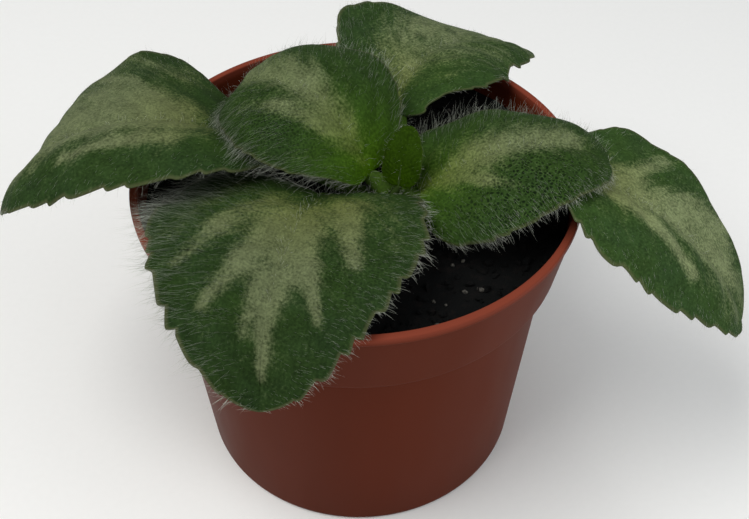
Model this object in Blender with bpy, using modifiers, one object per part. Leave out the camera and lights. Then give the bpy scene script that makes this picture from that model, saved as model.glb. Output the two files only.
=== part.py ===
"""A young primulina with variegated, hairy leaves, growing in an 80 mm moulded nursery pot.

Run with blender --background --python part.py, or from the text editor. The model's origin is the
middle of the pot's base, +Z is up, and the front of the plant faces -Y. Sizes below are in
millimetres and degrees.
"""

import math
import random
from dataclasses import dataclass

import bmesh
import bpy
import numpy as np
from mathutils import Matrix, Vector, noise

MM = 0.001
MERGE = 0.00001

# Pot
POT_HEIGHT = 63.0
RIM_RADIUS = 40.0
COLLAR_DROP = 15.0
COLLAR_FOOT_RADIUS = 37.2
BODY_TOP_RADIUS = 35.1
STEP_DROP = 2.0
BASE_RADIUS = 31.3
FOOT_WIDTH = 3.4
FLOOR_LIFT = 1.8
CENTRE_PAD_RADIUS = 12.0
WALL = 1.0
FLOOR = 1.2
LIP_WIDTH = 1.4
EDGE = 0.4
DRAIN_HOLES = 6
DRAIN_RADIUS = 3.0
DRAIN_CIRCLE = 20.0
TURNS = 44

# Soil and crown
GAP = 0.3
SOIL_DROP = 5.0
SOIL_RELIEF = 0.9
SOIL_RINGS = 7
LUMP_SIZE = 6.0
CRUMB_SIZE = 2.6
SOIL_BOTTOM = FLOOR_LIFT + FLOOR + GAP
CROWN_AT = (6.5, -5.8)
CROWN_RADIUS = 4.4
CROWN_WAIST = 0.4
CROWN_TAPER = 0.8
CROWN_SHOULDER = 2.6
CROWN_TOP = POT_HEIGHT + 0.2
CROWN_FOOT = POT_HEIGHT - 13.0
CROWN_TURNS = 20

# Leaf blades, all of one habit
BLADE_THICKNESS = 1.0
MIDRIB_VALLEY = 14.0
LOBE_REACH = -0.3
LOBE_DROOP = 90.0
ARCH_POWER = 1.3
DROOP_POWER = 0.8
BASE_NOTCH = 0.05
VEIN_POWER = 1.35
TOOTH_PITCH = 5.0
FEWEST_TEETH = 6
TOOTH_DEPTH = 1.0
TOOTH_VARIATION = (0.5, 1.4)
TOOTH_DRIFT = 0.25
DRIFT_RATE = 2.4
TOOTH_TOP = 0.8
TOOTH_MIDDLE = 0.45
TOOTH_LEAN = 0.25
TEETH_BEGIN = 0.3
TEETH_FULL = 1.0
WAVE_HEIGHT = 0.6
WAVE_LENGTH = 17.0

# Leaf stalks, and the ribs that they run on into
STALK_RADIUS = 1.4
STALK_START = 1.8
STALK_STEPS = 7
STALK_LEAVING = 0.8
STALK_ARRIVING = 0.45
STALK_NECK = 0.8
RIB_END_RADIUS = 0.45
RIB_SHARES = (0.1, 0.2, 0.3, 0.42, 0.54, 0.68)

# Rows and rings of points that a blade is made of
RINGS = (0.0, 0.38, 0.74, 1.0)
ROW_PHASES = (0.0, 0.45, 0.8)
ROW_SPACING = 0.35
MIDRIB_SAMPLES = 66
MARGIN_SAMPLES = 600
DROOP_STEPS = 8


@dataclass(frozen=True)
class Leaf:
    """One leaf: where its blade meets its stalk, how its midrib runs, how the blade bends, and its size.

    Each swell of its outline is a side, the turn of the outline that it is at, its height and its spread.
    The teeth are those of its left and right margin, as a share of the full depth.
    """

    joint: tuple
    heading: float
    bend: float
    rise: float
    arch: float
    roll: float
    twist: float
    length: float
    width: float
    curl_left: float
    curl_right: float
    tip_curl_left: float
    tip_curl_right: float
    lobe: float
    taper: float
    lean: float
    stalk_height: float
    stalk_heading: float
    stalk_rise: float
    seed: int
    scale: float = 1.0
    stalk_radius: float = STALK_RADIUS
    swells: tuple = ()
    teeth: tuple = (1.0, 1.0)


LEAVES = {
    "leaf_left": Leaf(
        joint=(-17.2, 6.1, 63.5), heading=192, bend=-15, rise=37, arch=114, roll=22, twist=0,
        length=56, width=46, curl_left=50, curl_right=-9, tip_curl_left=50, tip_curl_right=16,
        lobe=-0.03, taper=0.17, lean=-0.25, stalk_height=60.2, stalk_heading=160, stalk_rise=8, seed=1,
        swells=((-1, 0.72, -8.5, 0.28), (-1, 1.12, 1.5, 0.15), (-1, 2.0, -3.2, 0.5), (1, 2.65, -3.0, 0.25)),
        teeth=(0.8, 0.3),
    ),
    "leaf_right": Leaf(
        joint=(30.7, -2.6, 66.3), heading=-17, bend=-10, rise=-6, arch=61, roll=-17, twist=3,
        length=51, width=36, curl_left=-10, curl_right=38, tip_curl_left=15, tip_curl_right=46,
        lobe=0.0, taper=0.2, lean=0.0, stalk_height=60.4, stalk_heading=24, stalk_rise=10, seed=2,
        swells=(
            (1, 0.86, -5.0, 0.24), (1, 1.22, 1.2, 0.25), (1, 2.2, -1.2, 0.5),
            (-1, 0.8, -4.5, 0.28), (-1, 2.4, -1.2, 0.4),
        ),
        teeth=(0.25, 1.0),
    ),
    "leaf_back": Leaf(
        joint=(8.2, 13.1, 64.6), heading=90, bend=-90, rise=8, arch=38, roll=-4, twist=-32,
        length=45, width=36, curl_left=-36, curl_right=40, tip_curl_left=95, tip_curl_right=73,
        lobe=0.0, taper=0.1, lean=0.07, stalk_height=60.4, stalk_heading=88, stalk_rise=14, seed=3,
        swells=(
            (1, 1.05, -2.2, 0.22), (1, 1.38, 0.6, 0.15), (1, 2.2, -2.2, 0.3),
            (-1, 0.6, -9.0, 0.35), (-1, 2.0, -1.8, 0.12),
        ),
        teeth=(0.6, 0.7),
    ),
    "leaf_front": Leaf(
        joint=(-6.5, -8.0, 64.1), heading=250, bend=20, rise=19, arch=44, roll=1, twist=-21,
        length=48, width=45, curl_left=5, curl_right=22, tip_curl_left=14, tip_curl_right=-3,
        lobe=0.35, taper=0.39, lean=-0.06, stalk_height=60.4, stalk_heading=214, stalk_rise=12, seed=4,
        swells=((-1, 1.1, -1.6, 0.35), (-1, 0.75, -3.0, 0.3), (1, 1.0, -4.5, 0.35)),
    ),
    "leaf_inner_left": Leaf(
        joint=(2.1, -4.1, 66.1), heading=141, bend=8, rise=59, arch=125, roll=5, twist=-14,
        length=37.2, width=32.5, curl_left=35, curl_right=21, tip_curl_left=17, tip_curl_right=45,
        lobe=-0.04, taper=0.1, lean=-0.05, stalk_height=62.8, stalk_heading=155, stalk_rise=60, seed=5,
        stalk_radius=2.1, swells=((-1, 2.25, -2.8, 0.3), (1, 0.6, -4.5, 0.35), (-1, 0.5, -4.0, 0.3)),
        teeth=(0.35, 0.35),
    ),
    "leaf_inner_right": Leaf(
        joint=(11.0, -7.5, 63.9), heading=8, bend=-3, rise=40, arch=82, roll=-10, twist=14,
        length=36, width=32.4, curl_left=29, curl_right=40, tip_curl_left=45, tip_curl_right=-30,
        lobe=0.19, taper=0.27, lean=0.03, stalk_height=61.9, stalk_heading=-28, stalk_rise=35, seed=6,
        stalk_radius=1.75, swells=((1, 1.85, -2.6, 0.4), (-1, 0.45, -5.5, 0.3), (-1, 1.0, -1.0, 0.3)),
        teeth=(0.3, 0.35),
    ),
    "leaf_young": Leaf(
        joint=(7.1, -7.6, 66.0), heading=73, bend=-3, rise=72, arch=50, roll=-7, twist=11,
        length=10.5, width=7, curl_left=17, curl_right=5, tip_curl_left=-3, tip_curl_right=13,
        lobe=0.04, taper=0.25, lean=0.0, stalk_height=61.5, stalk_heading=-125, stalk_rise=75, seed=7,
        scale=0.5, stalk_radius=1.5, teeth=(0.4, 0.4),
    ),
}

COLOURS = {
    "pot": (0.155, 0.052, 0.035),
    "soil": (0.012, 0.010, 0.009),
    "crown": (0.13, 0.19, 0.03),
    "leaf": (0.075, 0.120, 0.045),
}


def clear_scene():
    for obj in list(bpy.data.objects):
        bpy.data.objects.remove(obj, do_unlink=True)


def new_collection(name):
    collection = bpy.data.collections.new(name)
    bpy.context.scene.collection.children.link(collection)
    return collection


def principled(name, colour, roughness):
    material = bpy.data.materials.new(name)
    material.use_nodes = True
    shader = material.node_tree.nodes["Principled BSDF"]
    shader.inputs["Base Color"].default_value = (*colour, 1.0)
    shader.inputs["Roughness"].default_value = roughness
    shader.inputs["Metallic"].default_value = 0.0
    return material


def add_object(name, data, collection, material=None):
    obj = bpy.data.objects.new(name, data)
    collection.objects.link(obj)
    if material:
        obj.data.materials.append(material)
    return obj


def as_cutter(obj):
    obj.hide_render = True
    obj.display_type = "WIRE"
    return obj


def turned(name, profile, turns, collection, material=None):
    """A closed body turned round Z from a profile of (radius, height) in mm, axis to axis."""
    mesh = bpy.data.meshes.new(name)
    points = [(radius * MM, 0.0, height * MM) for radius, height in profile]
    mesh.from_pydata(points, [(i, i + 1) for i in range(len(points) - 1)], [])
    obj = add_object(name, mesh, collection, material)
    screw = obj.modifiers.new("Turned", "SCREW")
    screw.steps = turns
    screw.render_steps = turns
    screw.use_merge_vertices = True
    screw.merge_threshold = MERGE
    screw.use_smooth_shade = True
    return obj


def boolean(obj, operand, operation):
    modifier = obj.modifiers.new(operation.title(), "BOOLEAN")
    modifier.operation = operation
    modifier.solver = "EXACT"
    modifier.object = operand


def frozen(obj):
    """Replaces an object's data by the mesh that its modifiers give."""
    bpy.context.view_layer.update()
    graph = bpy.context.evaluated_depsgraph_get()
    mesh = bpy.data.meshes.new_from_object(obj.evaluated_get(graph))
    obj.modifiers.clear()
    obj.data = mesh
    return obj


def between(low, high, share):
    return low + (high - low) * share


# The pot

def pot_wall_radius(height, inner):
    """Radius of the wall's outer or inner face at a height above the ground."""
    collar_foot = POT_HEIGHT - COLLAR_DROP
    step_foot = collar_foot - STEP_DROP
    if height >= collar_foot:
        radius = between(COLLAR_FOOT_RADIUS, RIM_RADIUS, (height - collar_foot) / COLLAR_DROP)
    elif height >= step_foot:
        radius = between(BODY_TOP_RADIUS, COLLAR_FOOT_RADIUS, (height - step_foot) / STEP_DROP)
    else:
        radius = between(BASE_RADIUS, BODY_TOP_RADIUS, height / step_foot)
    return radius - WALL if inner else radius


def pot_profile():
    collar_foot = POT_HEIGHT - COLLAR_DROP
    step_foot = collar_foot - STEP_DROP
    channel = (CENTRE_PAD_RADIUS + FLOOR_LIFT, BASE_RADIUS - FOOT_WIDTH - FLOOR_LIFT)
    foot_inner = BASE_RADIUS - FOOT_WIDTH
    inside = [
        (0.0, FLOOR),
        (CENTRE_PAD_RADIUS - EDGE, FLOOR),
        (channel[0] - EDGE, FLOOR_LIFT + FLOOR),
        (channel[1] + EDGE, FLOOR_LIFT + FLOOR),
        (foot_inner + EDGE, FLOOR),
        (pot_wall_radius(FLOOR, True), FLOOR),
        (BODY_TOP_RADIUS - WALL, step_foot),
        (COLLAR_FOOT_RADIUS - WALL, collar_foot),
        (pot_wall_radius(POT_HEIGHT - 2 * EDGE, True), POT_HEIGHT - 2 * EDGE),
    ]
    lip = [
        (RIM_RADIUS - LIP_WIDTH + EDGE, POT_HEIGHT),
        (RIM_RADIUS - EDGE, POT_HEIGHT),
        (RIM_RADIUS, POT_HEIGHT - EDGE),
    ]
    outside = [
        (COLLAR_FOOT_RADIUS, collar_foot),
        (BODY_TOP_RADIUS, step_foot),
        (pot_wall_radius(2 * EDGE, False), 2 * EDGE),
        (BASE_RADIUS - 2 * EDGE, 0.0),
        (foot_inner, 0.0),
        (channel[1], FLOOR_LIFT),
        (channel[0], FLOOR_LIFT),
        (CENTRE_PAD_RADIUS, 0.0),
        (0.0, 0.0),
    ]
    return inside + lip + outside


def drain_cutter(cutters):
    shapes = bmesh.new()
    for hole in range(DRAIN_HOLES):
        angle = math.tau * (hole + 0.5) / DRAIN_HOLES
        place = (DRAIN_CIRCLE * math.cos(angle) * MM, DRAIN_CIRCLE * math.sin(angle) * MM, FLOOR_LIFT * MM)
        bmesh.ops.create_cone(
            shapes, cap_ends=True, segments=12, radius1=DRAIN_RADIUS * MM, radius2=DRAIN_RADIUS * MM,
            depth=4 * FLOOR * MM, matrix=Matrix.Translation(place),
        )
    mesh = bpy.data.meshes.new("drain_holes")
    shapes.to_mesh(mesh)
    shapes.free()
    return as_cutter(add_object("drain_holes", mesh, cutters))


def make_pot(parts, cutters):
    material = principled("terracotta polypropylene", COLOURS["pot"], 0.45)
    pot = turned("pot", pot_profile(), TURNS, parts, material)
    boolean(pot, drain_cutter(cutters), "DIFFERENCE")


# The soil and the crown that stands in it

def soil_height(x, y, radius):
    """Height of the lumpy top of the soil at a place, in mm."""
    lumps = noise.noise(Vector((x / LUMP_SIZE, y / LUMP_SIZE, 1.7)))
    crumbs = noise.noise(Vector((x / CRUMB_SIZE, y / CRUMB_SIZE, 5.1)))
    fading = 1.0 - (radius / (RIM_RADIUS - LIP_WIDTH)) ** 6
    return POT_HEIGHT - SOIL_DROP + SOIL_RELIEF * (lumps + 0.5 * crumbs) * fading


def make_soil(parts, cutters):
    step_foot = POT_HEIGHT - COLLAR_DROP - STEP_DROP
    collar_foot = POT_HEIGHT - COLLAR_DROP
    surface = POT_HEIGHT - SOIL_DROP
    edge_radius = pot_wall_radius(surface, True) - GAP
    top = [(edge_radius * ring / SOIL_RINGS, surface) for ring in range(SOIL_RINGS + 1)]
    sides = [
        (COLLAR_FOOT_RADIUS - WALL - GAP, collar_foot),
        (BODY_TOP_RADIUS - WALL - GAP, step_foot),
        (BASE_RADIUS - FOOT_WIDTH, SOIL_BOTTOM),
        (0.0, SOIL_BOTTOM),
    ]
    material = principled("damp potting mix", COLOURS["soil"], 0.95)
    soil = frozen(turned("soil", top + sides, TURNS, parts, material))
    for vertex in soil.data.vertices:
        x, y = vertex.co.x / MM, vertex.co.y / MM
        if vertex.co.z > (surface - GAP) * MM:
            vertex.co.z = soil_height(x, y, math.hypot(x, y)) * MM
    hole_depth = POT_HEIGHT - CROWN_FOOT + GAP
    shapes = bmesh.new()
    bmesh.ops.create_cone(
        shapes, cap_ends=True, segments=CROWN_TURNS, radius1=(CROWN_RADIUS + GAP) * MM,
        radius2=(CROWN_RADIUS + GAP) * MM, depth=hole_depth * MM,
        matrix=Matrix.Translation((CROWN_AT[0] * MM, CROWN_AT[1] * MM, (POT_HEIGHT - hole_depth / 2) * MM)),
    )
    mesh = bpy.data.meshes.new("crown_hole")
    shapes.to_mesh(mesh)
    shapes.free()
    boolean(soil, as_cutter(add_object("crown_hole", mesh, cutters)), "DIFFERENCE")


def crown_profile(spare):
    """The crown's outline, or one that stands clear of it by spare mm."""
    shoulder = CROWN_TOP - CROWN_SHOULDER
    waist = CROWN_RADIUS - CROWN_WAIST + spare
    rounding = [
        (waist * math.sin(turn), shoulder + (CROWN_SHOULDER + spare) * math.cos(turn))
        for turn in (math.pi / 2 * step / 5 for step in range(6))
    ]
    foot = [
        (CROWN_RADIUS + spare, POT_HEIGHT - SOIL_DROP - 1.0),
        (CROWN_RADIUS - CROWN_TAPER + spare, CROWN_FOOT - spare),
        (0.0, CROWN_FOOT - spare),
    ]
    return rounding + foot


def make_crown(parts, cutters):
    """Makes the crown, and gives the cutter that keeps the stalks clear of it."""
    place = (CROWN_AT[0] * MM, CROWN_AT[1] * MM, 0.0)
    material = principled("young stem", COLOURS["crown"], 0.5)
    turned("crown", crown_profile(0.0), CROWN_TURNS, parts, material).location = place
    clearance = as_cutter(turned("crown_clearance", crown_profile(GAP), CROWN_TURNS, cutters))
    clearance.location = place
    return clearance


# A leaf blade: a flat outline, bent along its midrib and across it

def midrib(leaf):
    """The midrib, from behind the joint to the tip: shares, points, forward, left and up directions."""
    along = np.linspace(LOBE_REACH, 1.0, MIDRIB_SAMPLES)
    ahead = np.clip(along, 0.0, 1.0)
    heading = np.radians(leaf.heading + leaf.bend * ahead)
    slope = np.radians(leaf.rise - leaf.arch * ahead**ARCH_POWER - LOBE_DROOP * np.minimum(along, 0.0))
    forward = np.stack([np.cos(slope) * np.cos(heading), np.cos(slope) * np.sin(heading), np.sin(slope)], -1)
    steps = np.diff(along)[:, None] * leaf.length
    points = np.concatenate([np.zeros((1, 3)), np.cumsum((forward[:-1] + forward[1:]) / 2 * steps, 0)])
    points += np.array(leaf.joint) - [np.interp(0.0, along, points[:, axis]) for axis in range(3)]
    level = np.stack([-np.sin(heading), np.cos(heading), 0.0 * heading], -1)
    above = np.cross(forward, level)
    roll = np.radians(leaf.roll + leaf.twist * ahead)[:, None]
    left = level * np.cos(roll) + above * np.sin(roll)
    up = above * np.cos(roll) - level * np.sin(roll)
    return along, points, forward, left, up


def sample(along, values, where):
    return np.stack([np.interp(where, along, values[:, axis]) for axis in range(3)], -1)


def bent(leaf, x, y):
    """Where points of the flat blade lie: x mm along the midrib, y mm to its left. Gives also the normals."""
    along, points, _, left, up = midrib(leaf)
    where = x / leaf.length
    side = np.where(y < 0, -1.0, 1.0)
    half = leaf.width / 2 * (1 + side * leaf.lean)
    across = np.abs(y) / half
    curl = np.where(side > 0, leaf.curl_left, leaf.curl_right)
    tip_curl = np.where(side > 0, leaf.tip_curl_left, leaf.tip_curl_right)
    droop = curl + tip_curl * (np.clip(where, -0.2, 1.0) - 0.5) + MIDRIB_VALLEY
    out = np.zeros_like(across)
    down = np.zeros_like(across)
    for step in range(DROOP_STEPS):
        share = across * (step + 0.5) / DROOP_STEPS
        angle = np.radians(droop * share**DROOP_POWER - MIDRIB_VALLEY)
        out += np.cos(angle) * across * half / DROOP_STEPS
        down += np.sin(angle) * across * half / DROOP_STEPS
    angle = np.radians(droop * across**DROOP_POWER - MIDRIB_VALLEY)[..., None]
    sideways = sample(along, left, where) * side[..., None]
    upward = sample(along, up, where)
    normal = upward * np.cos(angle) + sideways * np.sin(angle)
    wave = WAVE_HEIGHT * leaf.scale * across**2 * np.sin(math.tau * x / WAVE_LENGTH + leaf.seed + 2 * side)
    place = sample(along, points, where) + sideways * out[..., None] - upward * down[..., None]
    return place + normal * wave[..., None], normal


def smooth_margin(leaf, turn, side):
    """The blade's outline without its teeth; turn runs from 0 at the base to pi at the tip."""
    lobe = leaf.lobe * np.sin(turn) ** 2 * (1 + np.cos(turn)) / 2
    notch = BASE_NOTCH * np.sin(2 * np.minimum(turn, math.pi / 2))
    x = leaf.length * ((1 - np.cos(turn)) / 2 - lobe - notch)
    y = leaf.width / 2 * (1 + side * leaf.lean) * np.sin(turn) * (1 + leaf.taper * np.cos(turn))
    for swollen, middle, height, spread in leaf.swells:
        if swollen == side:
            y = y + height * np.sin(turn) * np.exp(-(((turn - middle) / spread) ** 2))
    return x, side * y


def vein_root(leaf, turn):
    """Where the side vein that ends at this turn of the outline leaves the midrib."""
    return leaf.length * (turn / math.pi) ** VEIN_POWER


def margin_teeth(leaf):
    """Turns of the outline from base to tip, the teeth passed at each, a little unevenly, and their count."""
    turn = np.linspace(0.0, math.pi, MARGIN_SAMPLES)
    x, y = smooth_margin(leaf, turn, 1)
    length = np.concatenate([[0.0], np.cumsum(np.hypot(np.diff(x), np.diff(y)))])
    share = length / length[-1]
    teeth = max(round(length[-1] / (TOOTH_PITCH * leaf.scale)), FEWEST_TEETH)
    drift = TOOTH_DRIFT * np.sin(math.pi * share) * np.sin(DRIFT_RATE * teeth * share + leaf.seed)
    return turn, teeth * share + drift, teeth


def tooth_profile(phase):
    """Height of one forward-pointing tooth, from its notch at 0 over its top to the next notch at 1."""
    return np.where(phase < TOOTH_TOP, (phase / TOOTH_TOP) ** 1.1, (1 - phase) / (1 - TOOTH_TOP))


def toothed_margin(leaf, turn, side):
    """The outline with its teeth at the given turns."""
    fine, passed, teeth = margin_teeth(leaf)
    count = np.interp(turn, fine, passed)
    index = np.minimum(np.floor(count).astype(int), teeth - 1)
    draw = random.Random(leaf.seed * 10 + side)
    depths = np.array([TOOTH_DEPTH * leaf.scale * draw.uniform(*TOOTH_VARIATION) for _ in range(teeth)])
    depths[[0, -1]] = 0.0
    x, y = smooth_margin(leaf, turn, side)
    ahead_x, ahead_y = smooth_margin(leaf, turn + 0.01, side)
    behind_x, behind_y = smooth_margin(leaf, turn - 0.01, side)
    forward = np.stack([ahead_x - behind_x, ahead_y - behind_y], -1)
    forward /= np.linalg.norm(forward, axis=-1, keepdims=True)
    outward = side * np.stack([-forward[:, 1], forward[:, 0]], -1)
    depth = depths[index] * np.clip((turn - TEETH_BEGIN) / (TEETH_FULL - TEETH_BEGIN), 0.0, 1.0)
    depth = depth * leaf.teeth[0 if side > 0 else 1]
    height = depth * (tooth_profile(count - index) - TOOTH_MIDDLE)
    shift = (outward + TOOTH_LEAN * forward) * height[:, None]
    return x + shift[:, 0], y + shift[:, 1]


def margin_turns(leaf):
    """Turns of the outline at which the blade has a row of points: three to a tooth, and the tip."""
    fine, passed, teeth = margin_teeth(leaf)
    places = [tooth + phase for tooth in range(teeth) for phase in ROW_PHASES]
    turns = np.interp(places[2:] + [teeth], passed, fine)
    kept = [turns[0]]
    for turn in turns[1:]:
        if vein_root(leaf, turn) - vein_root(leaf, kept[-1]) > ROW_SPACING * leaf.scale:
            kept.append(turn)
    return np.array(kept)


def blade_mesh(name, leaf):
    """The blade's middle surface in triangles: rows of points fan out from the midrib to the margin."""
    turns = margin_turns(leaf)
    roots = vein_root(leaf, turns)
    last = len(turns) - 1
    flat = [(0.0, 0.0)] + [(root, 0.0) for root in roots]
    columns = {(row, 0): row + 1 for row in range(-1, last + 1)}
    for side in (1, -1):
        margin_x, margin_y = toothed_margin(leaf, turns, side)
        for ring, share in enumerate(RINGS[1:], 1):
            columns[-1, side * ring] = columns[-1, 0]
            columns[last, side * ring] = columns[last, 0]
            for row, root in enumerate(roots[:-1]):
                flat.append((between(root, margin_x[row], share), between(0.0, margin_y[row], share)))
                columns[row, side * ring] = len(flat) - 1
    triangles = []
    for side in (1, -1):
        for row in range(last + 1):
            for ring in range(len(RINGS) - 1):
                corners = [
                    columns[row - 1, side * ring],
                    columns[row, side * ring],
                    columns[row, side * (ring + 1)],
                    columns[row - 1, side * (ring + 1)],
                ]
                for triple in ((0, 1, 2), (0, 2, 3)):
                    face = [corners[corner] for corner in triple]
                    if len(set(face)) == 3:
                        triangles.append(face if side > 0 else face[::-1])
    x, y = np.array(flat).T
    places, _ = bent(leaf, x, y)
    mesh = bpy.data.meshes.new(name)
    mesh.from_pydata([Vector(place) * MM for place in places], [], triangles)
    return mesh


def stalk_route(leaf):
    """Points and radii of the stalk, from inside the crown to the joint, and of the rib under the midrib."""
    along, points, forward, _, up = midrib(leaf)
    heading, rise = math.radians(leaf.stalk_heading), math.radians(leaf.stalk_rise)
    level = Vector((math.cos(heading), math.sin(heading), 0.0))
    leaving = level * math.cos(rise) + Vector((0.0, 0.0, math.sin(rise)))
    start = Vector((*CROWN_AT, leaf.stalk_height)) + level * STALK_START
    joint = Vector(leaf.joint) - Vector(sample(along, up, 0.0)) * BLADE_THICKNESS * 0.7 * leaf.scale
    reach = (joint - start).length
    arriving = Vector(sample(along, forward, 0.0))
    route = []
    for step in range(STALK_STEPS + 1):
        t = step / STALK_STEPS
        place = (
            start * (2 * t**3 - 3 * t**2 + 1)
            + leaving * STALK_LEAVING * reach * (t**3 - 2 * t**2 + t)
            + joint * (3 * t**2 - 2 * t**3)
            + arriving * STALK_ARRIVING * reach * (t**3 - t**2)
        )
        route.append((place, between(leaf.stalk_radius, STALK_NECK * STALK_RADIUS, t) * leaf.scale))
    for share in RIB_SHARES:
        radius = between(STALK_NECK * STALK_RADIUS, RIB_END_RADIUS, share / RIB_SHARES[-1]) * leaf.scale
        sunk = (0.35 * BLADE_THICKNESS + 0.45 * (radius - RIB_END_RADIUS)) * leaf.scale
        place = Vector(sample(along, points, share)) - Vector(sample(along, up, share)) * sunk
        route.append((place, radius))
    return route


def make_stalk(name, leaf, cutters):
    route = stalk_route(leaf)
    curve = bpy.data.curves.new(name + "_stalk", "CURVE")
    curve.dimensions = "3D"
    curve.bevel_depth = MM
    curve.bevel_resolution = 2
    curve.use_fill_caps = True
    spline = curve.splines.new("POLY")
    spline.points.add(len(route) - 1)
    for point, (place, radius) in zip(spline.points, route):
        point.co = (*(place * MM), 1.0)
        point.radius = radius
    tube = add_object(name + "_tube", curve, cutters)
    bpy.context.view_layer.update()
    graph = bpy.context.evaluated_depsgraph_get()
    mesh = bpy.data.meshes.new_from_object(tube.evaluated_get(graph))
    bpy.data.objects.remove(tube)
    welded = bmesh.new()
    welded.from_mesh(mesh)
    bmesh.ops.remove_doubles(welded, verts=welded.verts, dist=MERGE)
    bmesh.ops.recalc_face_normals(welded, faces=welded.faces)
    welded.to_mesh(mesh)
    welded.free()
    return as_cutter(add_object(name + "_stalk", mesh, cutters))


def make_leaf(name, leaf, parts, cutters, clearance, material):
    blade = add_object(name, blade_mesh(name, leaf), parts, material)
    solidify = blade.modifiers.new("Thickness", "SOLIDIFY")
    solidify.thickness = BLADE_THICKNESS * leaf.scale * MM
    solidify.offset = 0.0
    boolean(blade, make_stalk(name, leaf, cutters), "UNION")
    boolean(blade, clearance, "DIFFERENCE")
    blade.data.shade_smooth()


def main():
    clear_scene()
    parts = new_collection("primulina_in_pot")
    cutters = new_collection("cutters")
    make_pot(parts, cutters)
    make_soil(parts, cutters)
    clearance = make_crown(parts, cutters)
    material = principled("hairy leaf", COLOURS["leaf"], 0.6)
    for name, leaf in LEAVES.items():
        make_leaf(name, leaf, parts, cutters, clearance, material)


main()
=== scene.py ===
"""The looks of a young primulina with variegated, hairy leaves in an 80 mm nursery pot.

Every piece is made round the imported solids, in their frame: metres, +Z up, the origin under the middle
of the pot, and the front of the plant facing -Y. Shapes are worked out in millimetres and degrees.
"""

import math
import random
from dataclasses import dataclass

import bmesh
import bpy
import numpy as np
from bpy.props import FloatProperty, FloatVectorProperty, IntProperty, PointerProperty
from mathutils import Matrix, Vector, noise


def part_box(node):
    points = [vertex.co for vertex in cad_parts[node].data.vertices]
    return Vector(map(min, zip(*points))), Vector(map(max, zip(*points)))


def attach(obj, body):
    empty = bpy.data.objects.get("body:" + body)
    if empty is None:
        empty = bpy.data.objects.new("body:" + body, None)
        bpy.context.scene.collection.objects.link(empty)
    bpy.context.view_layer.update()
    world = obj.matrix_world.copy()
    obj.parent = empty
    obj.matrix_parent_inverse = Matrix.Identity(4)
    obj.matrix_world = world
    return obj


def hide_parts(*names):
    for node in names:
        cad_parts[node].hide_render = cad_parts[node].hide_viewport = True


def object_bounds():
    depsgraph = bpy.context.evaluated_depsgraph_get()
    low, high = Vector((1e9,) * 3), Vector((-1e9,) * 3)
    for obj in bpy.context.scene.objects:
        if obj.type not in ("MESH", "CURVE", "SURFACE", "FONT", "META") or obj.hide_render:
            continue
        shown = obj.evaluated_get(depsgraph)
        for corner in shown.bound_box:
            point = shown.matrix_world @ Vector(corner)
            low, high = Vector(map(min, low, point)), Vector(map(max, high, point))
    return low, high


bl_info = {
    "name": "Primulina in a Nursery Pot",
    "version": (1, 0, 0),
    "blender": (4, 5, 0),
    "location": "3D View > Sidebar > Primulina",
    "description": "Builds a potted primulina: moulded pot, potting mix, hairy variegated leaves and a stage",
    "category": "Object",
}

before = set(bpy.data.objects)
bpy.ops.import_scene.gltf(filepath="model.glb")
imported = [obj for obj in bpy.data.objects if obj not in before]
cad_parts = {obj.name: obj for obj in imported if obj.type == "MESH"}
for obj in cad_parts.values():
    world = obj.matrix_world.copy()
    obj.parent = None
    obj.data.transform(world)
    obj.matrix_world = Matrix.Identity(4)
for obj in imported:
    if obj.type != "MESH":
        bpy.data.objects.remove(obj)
CAD_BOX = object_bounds()

MM = 0.001
BODY = "root"

# Pot, as in the solid
POT_HEIGHT = (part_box("pot")[1].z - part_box("pot")[0].z) / MM
RIM_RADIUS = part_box("pot")[1].x / MM
COLLAR_DROP = 15.0
COLLAR_FOOT_RADIUS = 37.2
BODY_TOP_RADIUS = 35.1
STEP_DROP = 2.0
COLLAR_FOOT = POT_HEIGHT - COLLAR_DROP
STEP_FOOT = COLLAR_FOOT - STEP_DROP
BASE_RADIUS = 31.3
FOOT_WIDTH = 3.4
FOOT_INSIDE = BASE_RADIUS - FOOT_WIDTH
FLOOR_LIFT = 1.8
CENTRE_PAD_RADIUS = 12.0
WALL = 1.0
FLOOR = 1.2
LIP_WIDTH = 1.4
BEAD_HEIGHT = 1.5
BEAD_STEP = 0.35
DRAIN_HOLES = 6
DRAIN_RADIUS = 3.0
DRAIN_CIRCLE = 20.0
POT_TURNS = 160
SHARP_ANGLE = 35.0

# Soil and crown
SOIL_DROP = 5.0
SOIL_TOP = POT_HEIGHT - SOIL_DROP
SOIL_RELIEF = 0.9
LUMP_SIZE = 6.0
CRUMB_SIZE = 2.6
GRIT_SIZE = 0.9
GRIT_RELIEF = 0.22
CRUMB_WIDTHS = (0.5, 1.9)
PERLITE_WIDTHS = (0.5, 1.7)
GAP = 0.3
SOIL_BOTTOM = FLOOR_LIFT + FLOOR + GAP
SOIL_EDGE_SHARE = (COLLAR_DROP - SOIL_DROP) / COLLAR_DROP
SOIL_EDGE = COLLAR_FOOT_RADIUS + (RIM_RADIUS - COLLAR_FOOT_RADIUS) * SOIL_EDGE_SHARE - WALL - GAP
SOIL_RINGS = 60
SOIL_TURNS = 180
CROWN_AT = (6.5, -5.8)
CROWN_RADIUS = 4.4
CROWN_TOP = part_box("crown")[1].z / MM
CROWN_SHOULDER = 2.6
CROWN_DEPTH = 13.0
CROWN_TURNS = 48

# Grains of perlite that show in front of the leaves: x, y and width in mm. No others lie past the corner.
PERLITE_SEEN = (
    (15.8, -19.4, 0.8), (17.6, -18.5, 0.7), (17.4, -25.7, 0.9), (20.0, -25.5, 1.2),
    (12.2, -27.1, 0.6), (14.1, -28.5, 0.6), (12.3, -33.2, 1.0),
)
PERLITE_CORNER = (4, -8)

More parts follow.
